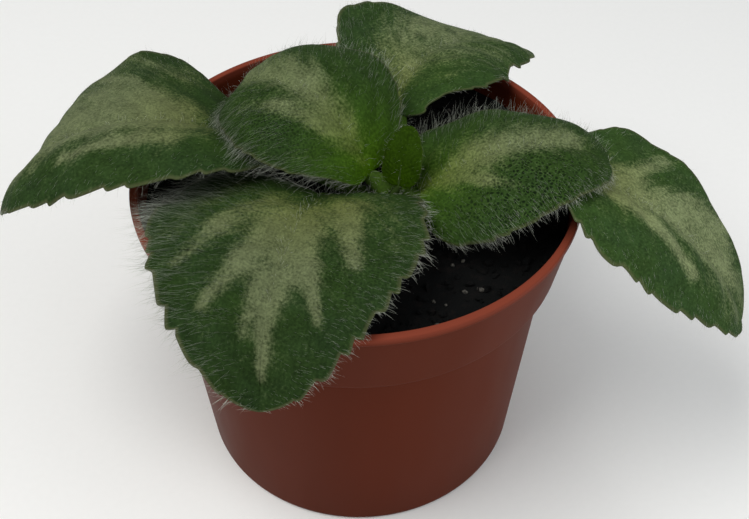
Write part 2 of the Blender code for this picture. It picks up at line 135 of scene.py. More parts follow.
# Leaf blades, as in the solids
MIDRIB_VALLEY = 14.0
LOBE_REACH = -0.3
LOBE_DROOP = 90.0
ARCH_POWER = 1.3
DROOP_POWER = 0.8
BASE_NOTCH = 0.05
VEIN_POWER = 1.35
TOOTH_PITCH = 5.0
FEWEST_TEETH = 6
TOOTH_DEPTH = 1.0
TOOTH_VARIATION = (0.5, 1.4)
TOOTH_DRIFT = 0.25
DRIFT_RATE = 2.4
TOOTH_TOP = 0.8
TOOTH_LEAN = 0.25
TEETH_BEGIN = 0.3
TEETH_FULL = 1.0
WAVE_HEIGHT = 0.6
WAVE_LENGTH = 17.0
STALK_RADIUS = 1.4
STALK_START = 1.8
STALK_LEAVING = 0.8
STALK_ARRIVING = 0.45
STALK_NECK = 0.8
STALK_SINK = 0.7
RIB_END_RADIUS = 0.45
RIB_END = 0.68
MIDRIB_SAMPLES = 66
MARGIN_SAMPLES = 600
DROOP_STEPS = 8

# The finer blade: rounded teeth, a tapering edge, sunken veins and swollen areas between them.
# The veins' pitch is that of a blade of the pitched length.
TOOTH_MIDDLE = 0.45
BLADE_THICKNESS = 0.85
MARGIN_THICKNESS = 0.45
ROW_PHASES = (0.0, 0.14, 0.3, 0.46, 0.6, 0.71, 0.79, 0.87, 0.94)
RINGS = 24
ROW_SPACING = 0.06
VEIN_PITCH = 6.5
PITCHED_LENGTH = 48
VEIN_LEAN = 0.5
VEIN_CURVE = 0.014
VEIN_WIDTH = 0.1
PUFF = 0.28
VEIN_RIDGE = 0.22
STREAK_STRETCH = 0.4
STALK_SIDES = 14
STALK_STEPS = 26
RIB_STEPS = 18

# Markings: how young, pale and pitted a stalk is, the painted light and shade that scales its colour, and how
# deep the pits are away from their middle
STALK_YOUTH = 0.8
STALK_PALENESS = 0.05
STALK_PITS = 0.1
STALK_PAINTED_LIGHTING = 0.85
PITS_EVERYWHERE = 0.15

# Hairs: how far they may stand out of the solids' box, how many there are per mm of margin and per square mm
# of stalk, how those of an underside compare with the upper side's, how thick those of both sides are beside
# the margin's, rings per hair, and how crowding at the margin and length change from foot to tip of a blade
HAIR_REACH = 2.1
FRINGE_PER_MM = 3.4
STALK_HAIRS = 1.6
UNDERSIDE_SHARE = 0.25
UNDERSIDE_LENGTH = 0.7
SURFACE_WIDTH = 0.75
SURFACE_HAIR_RINGS = 3
FRINGE_RINGS = 4
STALK_HAIR_RINGS = 2
ALONG_BLADE = (0.0, 0.25, 1.0)
FRINGE_CROWDING = (1.0, 1.0, 1.3)
FOOT_LENGTH = 1.1
FOOT_END = 0.1

# Camera and lamps
CAMERA_AT = (0.0, -155.4, 195.4)
CAMERA_AIM = (2.77, -13.68, 54.23)
CAMERA_ROLL = -0.16
CAMERA_LENS = 55.27
FLOOR_SIZE = 3000.0
LAMP_AIM = (0, 0, 40)

# Mix node sockets for colours
FACTOR, COLOUR_A, COLOUR_B, MIXED = 0, 6, 7, 2

LEAF_MATERIAL = "fleshy variegated leaf"


@dataclass(frozen=True)
class Leaf:
    """One leaf: where its blade meets its stalk, how its midrib runs, how the blade bends, and its size.

    Curl, tip curl, teeth, coat and hair lengths are for the left and the right of the midrib, the last three
    as a share of the full one. Youth and painted lighting are pairs too: youth at the tip and the foot, and
    painted light and shade at the foot and the tip, a scale of the blade's colour beside the other leaves for
    the light that falls on it. Tip hairs, foot crowding and margin width say how long hairs are at the tip,
    how close at the foot of the margin and how thick along it.
    Each swell of its outline is a side, the turn of the outline that it is at, its height and its spread.
    Pits are deepest round x and y, within a reach, all in mm of the flat blade, by the depth given last; they
    are sunk in the bump and darkened with painted shade.
    Each pale streak runs from x, y to x, y in mm of the flat blade, x along the midrib and y to its left.
    After these come the distance at either end over which it fades to half, and its strength.
    """

    seed: int
    joint: tuple
    heading: float
    bend: float
    rise: float
    arch: float
    roll: float
    twist: float
    length: float
    width: float
    curl: tuple
    tip_curl: tuple
    taper: float
    stalk_height: float
    stalk_heading: float
    stalk_rise: float
    coat: tuple
    hair_lengths: tuple
    lobe: float = 0.0
    lean: float = 0.0
    scale: float = 1.0
    stalk_radius: float = STALK_RADIUS
    swells: tuple = ()
    teeth: tuple = (1.0, 1.0)
    youth: tuple = (0.0, 0.15)
    brightness: tuple = (1.0, 1.0)
    pits: tuple = (0, 0, 1, 0)
    tip_hairs: float = 0.75
    foot_crowding: float = 1.0
    margin_width: float = 1.0
    streaks: tuple = ()


LEAVES = {
    "leaf_left": Leaf(
        seed=1, joint=(-17.2, 6.1, 63.5), heading=192, bend=-15, rise=37, arch=114, roll=22, twist=0,
        length=56, width=46, curl=(50, -9), tip_curl=(50, 16), lobe=-0.03, taper=0.17, lean=-0.25,
        stalk_height=60.2, stalk_heading=160, stalk_rise=8, teeth=(0.8, 0.3),
        swells=((-1, 0.72, -8.5, 0.28), (-1, 1.12, 1.5, 0.15), (-1, 2.0, -3.2, 0.5), (1, 2.65, -3.0, 0.25)),
        coat=(0.22, 0.15), hair_lengths=(0.6, 0.6), brightness=(0.94, 0.98),
        streaks=(
            (17, 2, 44, 1, 4.5, 3.5, 0.8), (18, 7.8, 34, 8.8, 1.5, 1.1, 0.75),
            (17, -2.5, 44, -8, 4.5, 5.0, 0.75), (16, -6, 38, -16, 3.2, 4.5, 0.65),
            (20, -11, 34, -23, 2.0, 2.5, 0.5), (27, -17, 35, -26, 2.0, 1.8, 0.35),
            (44, 4, 54, 2, 4.0, 2.5, 0.3), (14, -19, 27, -26, 4.0, 3.0, 0.38),
        ),
    ),
    "leaf_right": Leaf(
        seed=2, joint=(30.7, -2.6, 66.3), heading=-17, bend=-10, rise=-6, arch=61, roll=-17, twist=3,
        length=51, width=36, curl=(-10, 38), tip_curl=(15, 46), taper=0.2,
        stalk_height=60.4, stalk_heading=24, stalk_rise=10, teeth=(0.25, 1.0),
        swells=(
            (1, 0.86, -5.0, 0.24), (1, 1.22, 1.2, 0.25), (1, 2.2, -1.2, 0.5),
            (-1, 0.8, -4.5, 0.28), (-1, 2.4, -1.2, 0.4),
        ),
        coat=(0.15, 0.28), hair_lengths=(0.45, 0.5), brightness=(1.35, 1.38),
        streaks=(
            (4, 0, 16, 0, 4.0, 5.0, 0.55), (15, 1, 40, 2, 4.2, 3.0, 0.7), (15, 3, 22, 15, 1.6, 1.6, 0.6),
            (25, 5, 38, 9, 2.6, 3.0, 0.6), (28, 9, 38, 12.5, 2.2, 1.8, 0.55), (38, 4, 49, 3, 3.5, 2.5, 0.45),
            (15, -3, 32, -8.5, 1.9, 1.3, 0.85), (28, -1.5, 46, -3.5, 1.5, 1.8, 0.45),
            (36, -6, 44, -7, 1.4, 1.4, 0.25),
        ),
    ),
    "leaf_back": Leaf(
        seed=3, joint=(8.2, 13.1, 64.6), heading=90, bend=-90, rise=8, arch=38, roll=-4, twist=-32,
        length=45, width=36, curl=(-36, 40), tip_curl=(95, 73), taper=0.1, lean=0.07,
        stalk_height=60.4, stalk_heading=88, stalk_rise=14, teeth=(0.6, 0.7),
        swells=(
            (1, 1.05, -2.2, 0.22), (1, 1.38, 0.6, 0.15), (1, 2.2, -2.2, 0.3),
            (-1, 0.6, -9.0, 0.35), (-1, 2.0, -1.8, 0.12),
        ),
        coat=(0.35, 0.2), hair_lengths=(0.7, 0.6), brightness=(1.2, 1.15),
        streaks=(
            (0, 0.5, 14, 1, 0.9, 1.6, 0.5), (14, 1, 42, 0, 4.5, 6.0, 0.48), (15, 6, 32, 13, 3.5, 4.5, 0.42),
            (28, 8, 40, 7, 5.0, 4.0, 0.38), (18, -5, 32, -10, 2.6, 3.0, 0.32),
            (10, -8, 26, -13, 1.5, 2.0, 0.15),
        ),
    ),
    "leaf_front": Leaf(
        seed=4, joint=(-6.5, -8.0, 64.1), heading=250, bend=20, rise=19, arch=44, roll=1, twist=-21,
        length=48, width=45, curl=(5, 22), tip_curl=(14, -3), lobe=0.35, taper=0.39, lean=-0.06,
        stalk_height=60.4, stalk_heading=214, stalk_rise=12,
        swells=((-1, 1.1, -1.6, 0.35), (-1, 0.75, -3.0, 0.3), (1, 1.0, -4.5, 0.35)),
        coat=(0.5, 0.75), hair_lengths=(0.85, 1.8), brightness=(0.93, 0.68), pits=(22, 12, 8, 0.3),
        tip_hairs=0.55, foot_crowding=3.0, margin_width=1.15,
        streaks=(
            (8, 1, 16, -1, 4.5, 4.0, 0.55), (3, 8, 10, 8, 4.0, 3.0, 0.25), (6, 7, 21, 11.5, 2.6, 1.3, 0.8),
            (13, 2, 25, 3.5, 2.6, 2.2, 0.8), (22, 4.5, 33, 7.5, 1.5, 0.8, 0.75),
            (12, -0.5, 30, -0.5, 2.8, 2.0, 0.8), (30, -0.5, 43, 0, 2.0, 0.8, 0.85),
            (18, 1.5, 27, 2.2, 1.8, 1.0, 0.45), (14, -2.5, 24, -5.5, 2.6, 2.0, 0.8),
            (24, -5.5, 34, -10, 1.8, 0.9, 0.75), (27, -2, 37, -3.5, 1.5, 0.9, 0.55),
            (8, -6, 18, -11.5, 2.6, 2.0, 0.6), (18, -11.5, 27, -15.5, 2.0, 1.0, 0.5),
            (4, -14, 20, -18.5, 2.6, 1.8, 0.3), (4, 14, 14, 16.5, 2.6, 1.8, 0.2),
        ),
    ),
    "leaf_inner_left": Leaf(
        seed=5, joint=(2.1, -4.1, 66.1), heading=141, bend=8, rise=59, arch=125, roll=5, twist=-14,
        length=37.2, width=32.5, curl=(35, 21), tip_curl=(17, 45), lobe=-0.04, taper=0.1, lean=-0.05,
        stalk_height=62.8, stalk_heading=155, stalk_rise=60, stalk_radius=2.1, teeth=(0.35, 0.35),
        swells=((-1, 2.25, -2.8, 0.3), (1, 0.6, -4.5, 0.35), (-1, 0.5, -4.0, 0.3)),
        coat=(0.8, 0.4), hair_lengths=(1.4, 1.1), youth=(0.06, 0.87), brightness=(0.92, 0.97),
        pits=(20, 9, 10, 0.6), tip_hairs=1.15, margin_width=1.15,
        streaks=(
            (3, 1, 10, 1, 1.6, 2.4, 0.5), (9, 0.5, 30, -2, 2.8, 3.4, 0.75), (11, 3.5, 20, 6, 1.6, 1.6, 0.7),
            (20, 6, 28, 8, 1.6, 1.6, 0.3), (20, -3, 33, -8, 2.4, 2.4, 0.45), (14, -3, 24, -9, 1.2, 1.2, 0.25),
        ),
    ),
    "leaf_inner_right": Leaf(
        seed=6, joint=(11.0, -7.5, 63.9), heading=8, bend=-3, rise=40, arch=82, roll=-10, twist=14,
        length=36, width=32.4, curl=(29, 40), tip_curl=(45, -30), lobe=0.19, taper=0.27, lean=0.03,
        stalk_height=61.9, stalk_heading=-28, stalk_rise=35, stalk_radius=1.75, teeth=(0.3, 0.35),
        swells=((1, 1.85, -2.6, 0.4), (-1, 0.45, -5.5, 0.3), (-1, 1.0, -1.0, 0.3)),
        coat=(0.6, 1.0), hair_lengths=(1.5, 0.7), youth=(0.05, 0.62), pits=(17, -9, 16, 0.85),
        streaks=(
            (1, 0, 12, 0, 2.4, 3.2, 0.6), (12, 0.5, 28, 2, 3.2, 2.4, 0.8), (6, -2, 12, -6, 1.8, 1.2, 0.6),
            (12, -6, 16, -8.5, 1.1, 0.8, 0.4), (10, 4, 26, 5.5, 1.6, 1.4, 0.16),
            (4, 7, 24, 8, 1.6, 1.2, 0.12),
        ),
    ),
    "leaf_young": Leaf(
        seed=7, joint=(7.1, -7.6, 66.0), heading=73, bend=-3, rise=72, arch=50, roll=-7, twist=11,
        length=10.5, width=7, curl=(17, 5), tip_curl=(-3, 13), lobe=0.04, taper=0.25, scale=0.5,
        stalk_height=61.5, stalk_heading=-125, stalk_rise=75, stalk_radius=1.5, teeth=(0.4, 0.4),
        coat=(0.2, 0.2), hair_lengths=(0.5, 0.5), youth=(0.75, 1.0), brightness=(0.38, 0.38),
    ),
}


def linear(hex_colour):
    """An sRGB hex colour, such as #2b4a1f, as linear red, green and blue."""
    shares = [int(hex_colour[start:start + 2], 16) / 255 for start in (1, 3, 5)]
    return tuple(s / 12.92 if s <= 0.04045 else ((s + 0.055) / 1.055) ** 2.4 for s in shares)


def colour_property(name, description, hex_colour):
    return FloatVectorProperty(
        name=name, description=description, subtype="COLOR", size=3, min=0.0, max=1.0,
        default=linear(hex_colour),
    )


class PrimulinaPotSettings(bpy.types.PropertyGroup):
    colour: colour_property("Pot Colour", "Terracotta pigment all through the wall", "#572515")
    # The lip colour is a painted highlight, lighter and redder than the wall
    lip_highlight: colour_property("Lip Colour", "Brighter where the thin lip lets light through", "#7c3b2b")
    roughness: FloatProperty(
        name="Roughness", description="Satin skin of the moulding", subtype="FACTOR", min=0.0, max=1.0,
        default=0.42,
    )


class PrimulinaSoilSettings(bpy.types.PropertyGroup):
    colour: colour_property("Mix Colour", "Damp peat", "#0a0b0b")
    crumb_colour: colour_property("Crumb Colour", "Drier crumbs of bark and peat", "#141110")
    perlite_colour: colour_property("Perlite Colour", "Expanded perlite, stained by the peat", "#55534d")
    crumbs: IntProperty(name="Crumbs", description="Loose crumbs on the soil", min=0, max=3000, default=900)
    perlite: IntProperty(name="Perlite", description="Scattered perlite grains", min=0, max=300, default=34)


class PrimulinaLeafSettings(bpy.types.PropertyGroup):
    dark: colour_property("Blade Green", "Deep green of a grown blade", "#273a21")
    warm: colour_property("Warm Green", "Yellower green in parts of the blade", "#2d4119")
    pale: colour_property("Pale Streaks", "Silvery green of the variegation", "#656e4d")
    cream: colour_property("Pale Middle", "Yellower pale green near the base of the blade", "#5f6433")
    young: colour_property("Young Green", "Bright green of young tissue near the crown", "#406200")
    under: colour_property("Underside", "Pale, matt underside", "#4c5a3b")
    hair: colour_property("Hair Tips", "Clear, whitish hairs", "#d8dbcf")
    edge: colour_property("Blade Edge", "Cream line along the margin", "#6d6a4e")
    hair_root: colour_property("Hair Roots", "Hairs take up the blade's green at their foot", "#46563a")
    density: FloatProperty(
        name="Hairs per mm²", description="Long hairs on the upper side", min=0.0, max=12.0, default=3.4
    )
    length: FloatProperty(
        name="Hair Length", description="Length of the longer hairs", unit="LENGTH", min=0.0, max=0.006,
        default=0.0026,
    )
    width: FloatProperty(
        name="Hair Width", description="Radius of a hair at its foot", unit="LENGTH", min=0.0, max=0.0002,
        precision=6, default=0.000024,
    )


class PrimulinaStageSettings(bpy.types.PropertyGroup):
    floor_colour: colour_property("Floor Colour", "Pale, plain paper sweep", "#fafaf8")
    key: FloatProperty(
        name="Key Lamp", description="Large soft lamp", subtype="POWER", min=0.0, default=2.1
    )
    fill: FloatProperty(
        name="Fill Lamp", description="Soft lamp opposite", subtype="POWER", min=0.0, default=0.85
    )
    sky: FloatProperty(name="Sky", description="Even light from all round", min=0.0, default=0.42)


# Small helpers for nodes and meshes

def add_node(tree, kind, inputs=None, output=0, into=None, **settings):
    """Adds a node and sets its properties; an input given as another node's output is linked, any other is
    set. Returns one of its outputs, and links that to the socket it goes into, if there is one."""
    node = tree.nodes.new(kind)
    for name, value in settings.items():
        setattr(node, name, value)
    for socket, given in (inputs or {}).items():
        if isinstance(given, bpy.types.NodeSocket):
            tree.links.new(given, node.inputs[socket])
        else:
            node.inputs[socket].default_value = given
    if into is not None:
        tree.links.new(node.outputs[output], into)
    return node.outputs[output]


def new_material(name, roughness, specular, ior=1.5):
    """A material, its node tree and the sockets of its shader."""
    material = bpy.data.materials.new(name)
    material.use_nodes = True
    shader = material.node_tree.nodes["Principled BSDF"].inputs
    shader["Roughness"].default_value = roughness
    shader["Specular IOR Level"].default_value = specular
    shader["IOR"].default_value = ior
    return material, material.node_tree, shader


def opaque(colour, share=1.0):
    """A colour with full alpha, darkened to a share."""
    return (*(share * part for part in colour), 1.0)


def per_mm(size):
    """The scale of a pattern whose grains are so many mm wide, on coordinates in metres."""
    return 1 / (size * MM)


def placed(name, data):
    """A new object in the scene."""
    thing = bpy.data.objects.new(name, data)
    bpy.context.scene.collection.objects.link(thing)
    return thing


def mesh_of(name, points, triangles):
    """A smooth mesh from arrays of points in mm and triangles."""
    mesh = bpy.data.meshes.new(name)
    points = np.asarray(points, np.float64) * MM
    triangles = np.asarray(triangles, np.int32)
    mesh.vertices.add(len(points))
    mesh.vertices.foreach_set("co", points.astype(np.float32).ravel())
    mesh.loops.add(triangles.size)
    mesh.loops.foreach_set("vertex_index", triangles.ravel())
    mesh.polygons.add(len(triangles))
    mesh.polygons.foreach_set("loop_start", np.arange(0, triangles.size, 3, dtype=np.int32))
    mesh.polygons.foreach_set("use_smooth", np.full(len(triangles), True))
    mesh.update(calc_edges=True)
    mesh.validate()
    return mesh


def mesh_from(name, shapes):
    """A mesh from a bmesh, which is freed."""
    mesh = bpy.data.meshes.new(name)
    shapes.to_mesh(mesh)
    shapes.free()
    return mesh


def add_piece(name, mesh, material, slot, *replaced):
    """Puts a mesh in the scene as a piece that rides on the only body."""
    if not mesh.polygons:
        raise RuntimeError(name + " has no faces")
    piece = placed(name, mesh)
    piece.data.materials.clear()
    piece.data.materials.append(material)
    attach(piece, BODY)
    if replaced:
        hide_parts(*replaced)


def store(mesh, name, kind, values):
    attribute = mesh.attributes.new(name, kind, "POINT")
    field = {"FLOAT_VECTOR": "vector", "FLOAT_COLOR": "color", "FLOAT": "value"}[kind]
    attribute.data.foreach_set(field, np.asarray(values, np.float32).ravel())


def between(low, high, share):
    return low + (high - low) * share


def unit(vectors):
    return vectors / np.maximum(np.linalg.norm(vectors, axis=-1, keepdims=True), 1e-9)


def side_share(shares, y):
    """The first of two values to the left of the midrib, where y is above 0, and the second elsewhere."""
    return np.where(y > 0, *shares)


def filleted(profile):
    """A profile of (radius, height, fillet) with its corners rounded over the length of each fillet."""
    points = []
    for index, (radius, height, fillet) in enumerate(profile):
        corner = Vector((radius, height))
        if fillet == 0:
            points.append(corner)
            continue
        before = Vector(profile[index - 1][:2])
        after = Vector(profile[index + 1][:2])
        start = corner + (before - corner).normalized() * fillet
        end = corner + (after - corner).normalized() * fillet
        for t in (0.0, 0.25, 0.5, 0.75, 1.0):
            points.append(start * (1 - t) ** 2 + corner * 2 * t * (1 - t) + end * t * t)
    return points


def turned(name, profile, turns, cutter=None):
    """A closed mesh turned round Z from a profile of (radius, height) in mm, axis to axis, less a cutter."""
    mesh = bpy.data.meshes.new(name)
    points = [(radius * MM, 0.0, height * MM) for radius, height in profile]
    mesh.from_pydata(points, [(i, i + 1) for i in range(len(points) - 1)], [])
    body = placed(name + "_profile", mesh)
    screw = body.modifiers.new("Turned", "SCREW")
    screw.steps = turns
    screw.render_steps = turns
    screw.use_merge_vertices = True
    screw.merge_threshold = 0.00001
    screw.use_smooth_shade = True
    if cutter:
        cut = body.modifiers.new("Cut", "BOOLEAN")
        cut.operation = "DIFFERENCE"
        cut.object = cutter
    bpy.context.view_layer.update()
    graph = bpy.context.evaluated_depsgraph_get()
    finished = bpy.data.meshes.new_from_object(body.evaluated_get(graph))
    for spent in filter(None, (body, cutter)):
        bpy.data.objects.remove(spent, do_unlink=True)
    return finished


# Materials, each named for what it is. Pattern sizes are in mm.

def moulded_polypropylene(settings):
    """Polypropylene, injection moulded: one pigment all through, a satin skin with faint flow marks round
    the wall, and a painted highlight along the thin lip: a band painted lighter and redder than the wall."""
    material, tree, shader = new_material("injection moulded polypropylene", settings.roughness, 0.02, 1.49)
    place = add_node(tree, "ShaderNodeTexCoord", output="Object")
    flow = add_node(tree, "ShaderNodeMapping", {"Vector": place, "Scale": (1.0, 1.0, 0.25)})
    cloudy, worn, skin = (
        add_node(tree, "ShaderNodeTexNoise", {"Vector": where, "Scale": per_mm(size), "Detail": detail})
        for where, size, detail in ((flow, 22.0, 3.0), (flow, 9.0, 2.0), (place, 0.35, 2.0))
    )
    height = add_node(tree, "ShaderNodeSeparateXYZ", {"Vector": place}, "Z")
    # A band at the top of the wall, painted in the lip's highlight colour
    lip = add_node(tree, "ShaderNodeMapRange", {
        "Value": height, "From Min": (POT_HEIGHT - 1.9) * MM, "From Max": (POT_HEIGHT - 0.3) * MM,
    }, interpolation_type="SMOOTHSTEP")
    colour = opaque(settings.colour, 0.8)
    for share, over in ((cloudy, opaque(settings.colour, 1.2)), (lip, opaque(settings.lip_highlight))):
        colour = add_node(tree, "ShaderNodeMix", {
            FACTOR: share, COLOUR_A: colour, COLOUR_B: over,
        }, MIXED, data_type="RGBA")
    tree.links.new(colour, shader["Base Color"])
    add_node(tree, "ShaderNodeMapRange", {
        "Value": worn, "To Min": settings.roughness - 0.09, "To Max": settings.roughness + 0.09,
    }, into=shader["Roughness"])
    add_node(tree, "ShaderNodeBump", {
        "Height": skin, "Strength": 0.25, "Distance": 0.02 * MM,
    }, into=shader["Normal"])
    return material


def damp_potting_mix(settings):
    """Peat and fine bark, damp: nearly black and quite matt, with drier brown crumbs here and there."""
    material, tree, shader = new_material("damp potting mix", 0.92, 0.12)
    place = add_node(tree, "ShaderNodeTexCoord", output="Object")
    crumbs, grit = (
        add_node(tree, "ShaderNodeTexNoise", {
            "Vector": place, "Scale": per_mm(size), "Detail": 4.0, "Roughness": roughness,
        })
        for size, roughness in ((1.6, 0.65), (0.7, 0.7))
    )
    dry = add_node(tree, "ShaderNodeMapRange", {
        "Value": crumbs, "From Min": 0.5, "From Max": 0.72,
    }, interpolation_type="SMOOTHSTEP")
    add_node(tree, "ShaderNodeMix", {
        FACTOR: dry, COLOUR_A: opaque(settings.colour), COLOUR_B: opaque(settings.crumb_colour),
    }, MIXED, shader["Base Color"], data_type="RGBA")
    add_node(tree, "ShaderNodeBump", {
        "Height": grit, "Strength": 0.8, "Distance": 0.35 * MM,
    }, into=shader["Normal"])
    return material


def expanded_perlite(settings):
    """Perlite, popped by heat: chalky, pitted, dull white grains, stained in their pits by the peat."""
    material, tree, shader = new_material("expanded perlite", 0.85, 0.2)
    place = add_node(tree, "ShaderNodeTexCoord", output="Object")
    pits = add_node(tree, "ShaderNodeTexNoise", {
        "Vector": place, "Scale": per_mm(0.3), "Detail": 3.0, "Roughness": 0.6,
    })
    clean = add_node(tree, "ShaderNodeMapRange", {
        "Value": pits, "From Min": 0.35, "From Max": 0.6,
    }, interpolation_type="SMOOTHSTEP")
    add_node(tree, "ShaderNodeMix", {
        FACTOR: clean, COLOUR_A: opaque(settings.perlite_colour, 0.35),
        COLOUR_B: opaque(settings.perlite_colour),
    }, MIXED, shader["Base Color"], data_type="RGBA")
    add_node(tree, "ShaderNodeBump", {
        "Height": pits, "Strength": 0.6, "Distance": 0.12 * MM,
    }, into=shader["Normal"])
    return material


def living_leaf(settings):
    """A fleshy living leaf: matt green with silvery streaks that fade out softly along its veins, a cream
    edge, and a fine pebbly grain of pits 0.6 mm apart: painted shade darkens the pits and a painted highlight
    lightens the net between them. Each blade's colour is also scaled by painted light and shade for the light
    on it."""
    material, tree, shader = new_material(LEAF_MATERIAL, 0.62, 0.02)
    flat, veins, skin = (
        add_node(tree, "ShaderNodeAttribute", output="Vector", attribute_name=name)
        for name in ("flat", "veins", "skin")
    )
    tone = add_node(tree, "ShaderNodeAttribute", output="Color", attribute_name="tone")
    streaks, youth, underside = add_node(tree, "ShaderNodeSeparateColor", {"Color": tone}).node.outputs
    # Skin: painted light and shade of the blade, depth of the pits, and nearness to the foot
    brightness, pitted, near_base = add_node(tree, "ShaderNodeSeparateXYZ", {"Vector": skin}).node.outputs

    # Patterns, from broad clouds to fine specks
    cloudy, feathers, mottle, specks = (
        add_node(tree, "ShaderNodeTexNoise", {
            "Vector": where, "Scale": per_mm(size), "Detail": detail, "Roughness": roughness,
        })
        for where, size, detail, roughness in (
            (flat, 7.0, 3.0, 0.5), (veins, 1.6, 4.0, 0.6), (flat, 2.4, 4.0, 0.6), (flat, 0.5, 3.0, 0.65),
        )
    )
    cells = add_node(tree, "ShaderNodeTexVoronoi", {
        "Vector": flat, "Scale": per_mm(0.6), "Randomness": 0.85,
    }, feature="DISTANCE_TO_EDGE")

    # How pale each place is: the streaks, broken up by the patterns
    ragged = streaks
    for pattern, share in ((feathers, 0.9), (mottle, 0.3), (specks, 1.0)):
        ragged = add_node(tree, "ShaderNodeMath", {0: pattern, 1: share, 2: ragged}, operation="MULTIPLY_ADD")
    glint = add_node(tree, "ShaderNodeMath", {0: mottle, 1: 0.6, 2: specks}, operation="MULTIPLY_ADD")
    pale, pits = (
        add_node(tree, "ShaderNodeMapRange", {
            "Value": value, "From Min": low, "From Max": high,
        }, interpolation_type="SMOOTHSTEP")
        for value, low, high in ((ragged, 1.15, 2.0), (cells, 0.08, 0.3))
    )
    glint = add_node(tree, "ShaderNodeMapRange", {
        "Value": glint, "From Min": 0.6, "From Max": 1.0, "To Min": 0.66, "To Max": 1.34,
    })

    # Shares of each effect: young green in the pale parts, painted light and shade on the blade (with its
    # speckled tone), a painted highlight on the net, the pits' depth (for the bump and for painted shade in
    # them), cream along the margin, and relief of the specks
    fresh, tone_and_painted_light, net_highlight, depth, rim, grain = (
        add_node(tree, "ShaderNodeMath", {0: first, 1: second}, operation=operation)
        for operation, first, second in (
            ("MULTIPLY", youth, 0.6), ("MULTIPLY", glint, brightness), ("POWER", 1.15, pitted),
            ("MULTIPLY", pits, pitted), ("MULTIPLY", tone.node.outputs["Alpha"], 0.35),
            ("MULTIPLY", specks, 0.6),
        )
    )
    silver = opaque(settings.pale)
    for share, over in ((near_base, opaque(settings.cream)), (fresh, opaque(settings.young, 1.5))):
        silver = add_node(tree, "ShaderNodeMix", {
            FACTOR: share, COLOUR_A: silver, COLOUR_B: over,
        }, MIXED, data_type="RGBA")
    lower = add_node(tree, "ShaderNodeMix", {
        FACTOR: cloudy, COLOUR_A: opaque(settings.under, 0.75), COLOUR_B: opaque(settings.under, 1.15),
    }, MIXED, data_type="RGBA")

    # The green, and what lies over it in turn; a share with no colour scales what is there: painted light and
    # shade on the blade, then a painted highlight on the net. The dark over the pits is painted shade.
    colour = opaque(settings.dark)
    for share, over in (
        (cloudy, opaque(settings.warm)), (youth, opaque(settings.young)), (pale, silver), (tone_and_painted_light, None),
        (net_highlight, None), (depth, opaque(settings.dark, 0.3)), (rim, opaque(settings.edge)), (underside, lower),
    ):
        if over is None:
            colour = add_node(tree, "ShaderNodeVectorMath", {0: colour, "Scale": share}, operation="SCALE")
        else:
            colour = add_node(tree, "ShaderNodeMix", {
                FACTOR: share, COLOUR_A: colour, COLOUR_B: over,
            }, MIXED, data_type="RGBA")
    tree.links.new(colour, shader["Base Color"])
    relief = add_node(tree, "ShaderNodeMath", {0: grain, 1: depth}, operation="SUBTRACT")
    add_node(tree, "ShaderNodeBump", {
        "Height": relief, "Strength": 0.9, "Distance": 0.16 * MM,
    }, into=shader["Normal"])
    return material


def clear_hair(settings):
    """Leaf hairs: single rows of clear cells, so they take the blade's green at the foot and go whitish
    towards the tip, where they catch the light. Real ones are about half as thick, too fine to show."""
    material, tree, shader = new_material("clear leaf hair", 0.45, 0.2)
    reach = add_node(tree, "ShaderNodeAttribute", output="Fac", attribute_name="reach")
    add_node(tree, "ShaderNodeMix", {
        FACTOR: reach, COLOUR_A: opaque(settings.hair_root), COLOUR_B: opaque(settings.hair),
    }, MIXED, shader["Base Color"], data_type="RGBA")
    return material


def matt_paper(settings):
    """A sweep of uncoated paper: pale, matt and faintly uneven, so that it takes a soft shadow."""
    material, tree, shader = new_material("uncoated paper", 0.95, 0.1)
    place = add_node(tree, "ShaderNodeTexCoord", output="Object")
    fibre = add_node(tree, "ShaderNodeTexNoise", {"Vector": place, "Scale": per_mm(1.5), "Detail": 3.0})
    add_node(tree, "ShaderNodeMix", {
        FACTOR: fibre, COLOUR_A: opaque(settings.floor_colour, 0.97), COLOUR_B: opaque(settings.floor_colour),
    }, MIXED, shader["Base Color"], data_type="RGBA")
    return material


# The pot

def pot_profile():
    """The wall cut through, from the middle of its floor over the lip to the middle of its foot."""
    inner_channel = CENTRE_PAD_RADIUS + FLOOR_LIFT
    outer_channel = FOOT_INSIDE - FLOOR_LIFT
    bead_foot = POT_HEIGHT - BEAD_HEIGHT
    inside = [
        (0.0, FLOOR, 0),
        (CENTRE_PAD_RADIUS - 0.4, FLOOR, 0.5),
        (inner_channel - 0.4, FLOOR_LIFT + FLOOR, 0.5),
        (outer_channel + 0.4, FLOOR_LIFT + FLOOR, 0.5),
        (FOOT_INSIDE + 0.4, FLOOR, 0.5),
        (BASE_RADIUS - WALL, FLOOR, 0.8),
        (BODY_TOP_RADIUS - WALL, STEP_FOOT, 0.8),
        (COLLAR_FOOT_RADIUS - WALL, COLLAR_FOOT, 0.8),
        (RIM_RADIUS - LIP_WIDTH, POT_HEIGHT - 0.8, 0.3),
    ]
    lip = [
        (RIM_RADIUS - LIP_WIDTH + 0.05, POT_HEIGHT, 0.3),
        (RIM_RADIUS, POT_HEIGHT, 0.45),
        (RIM_RADIUS - 0.05, bead_foot, 0.25),
        (RIM_RADIUS - BEAD_STEP - 0.15, bead_foot - BEAD_STEP, 0.2),
    ]
    outside = [
        (COLLAR_FOOT_RADIUS, COLLAR_FOOT, 0.7),
        (BODY_TOP_RADIUS, STEP_FOOT, 0.7),
        (BASE_RADIUS, 0.0, 1.0),
        (FOOT_INSIDE, 0.0, 0.4),
        (outer_channel, FLOOR_LIFT, 0.4),
        (inner_channel, FLOOR_LIFT, 0.4),
        (CENTRE_PAD_RADIUS, 0.0, 0.4),
        (0.0, 0.0, 0),
    ]
    return filleted(inside + lip + outside)


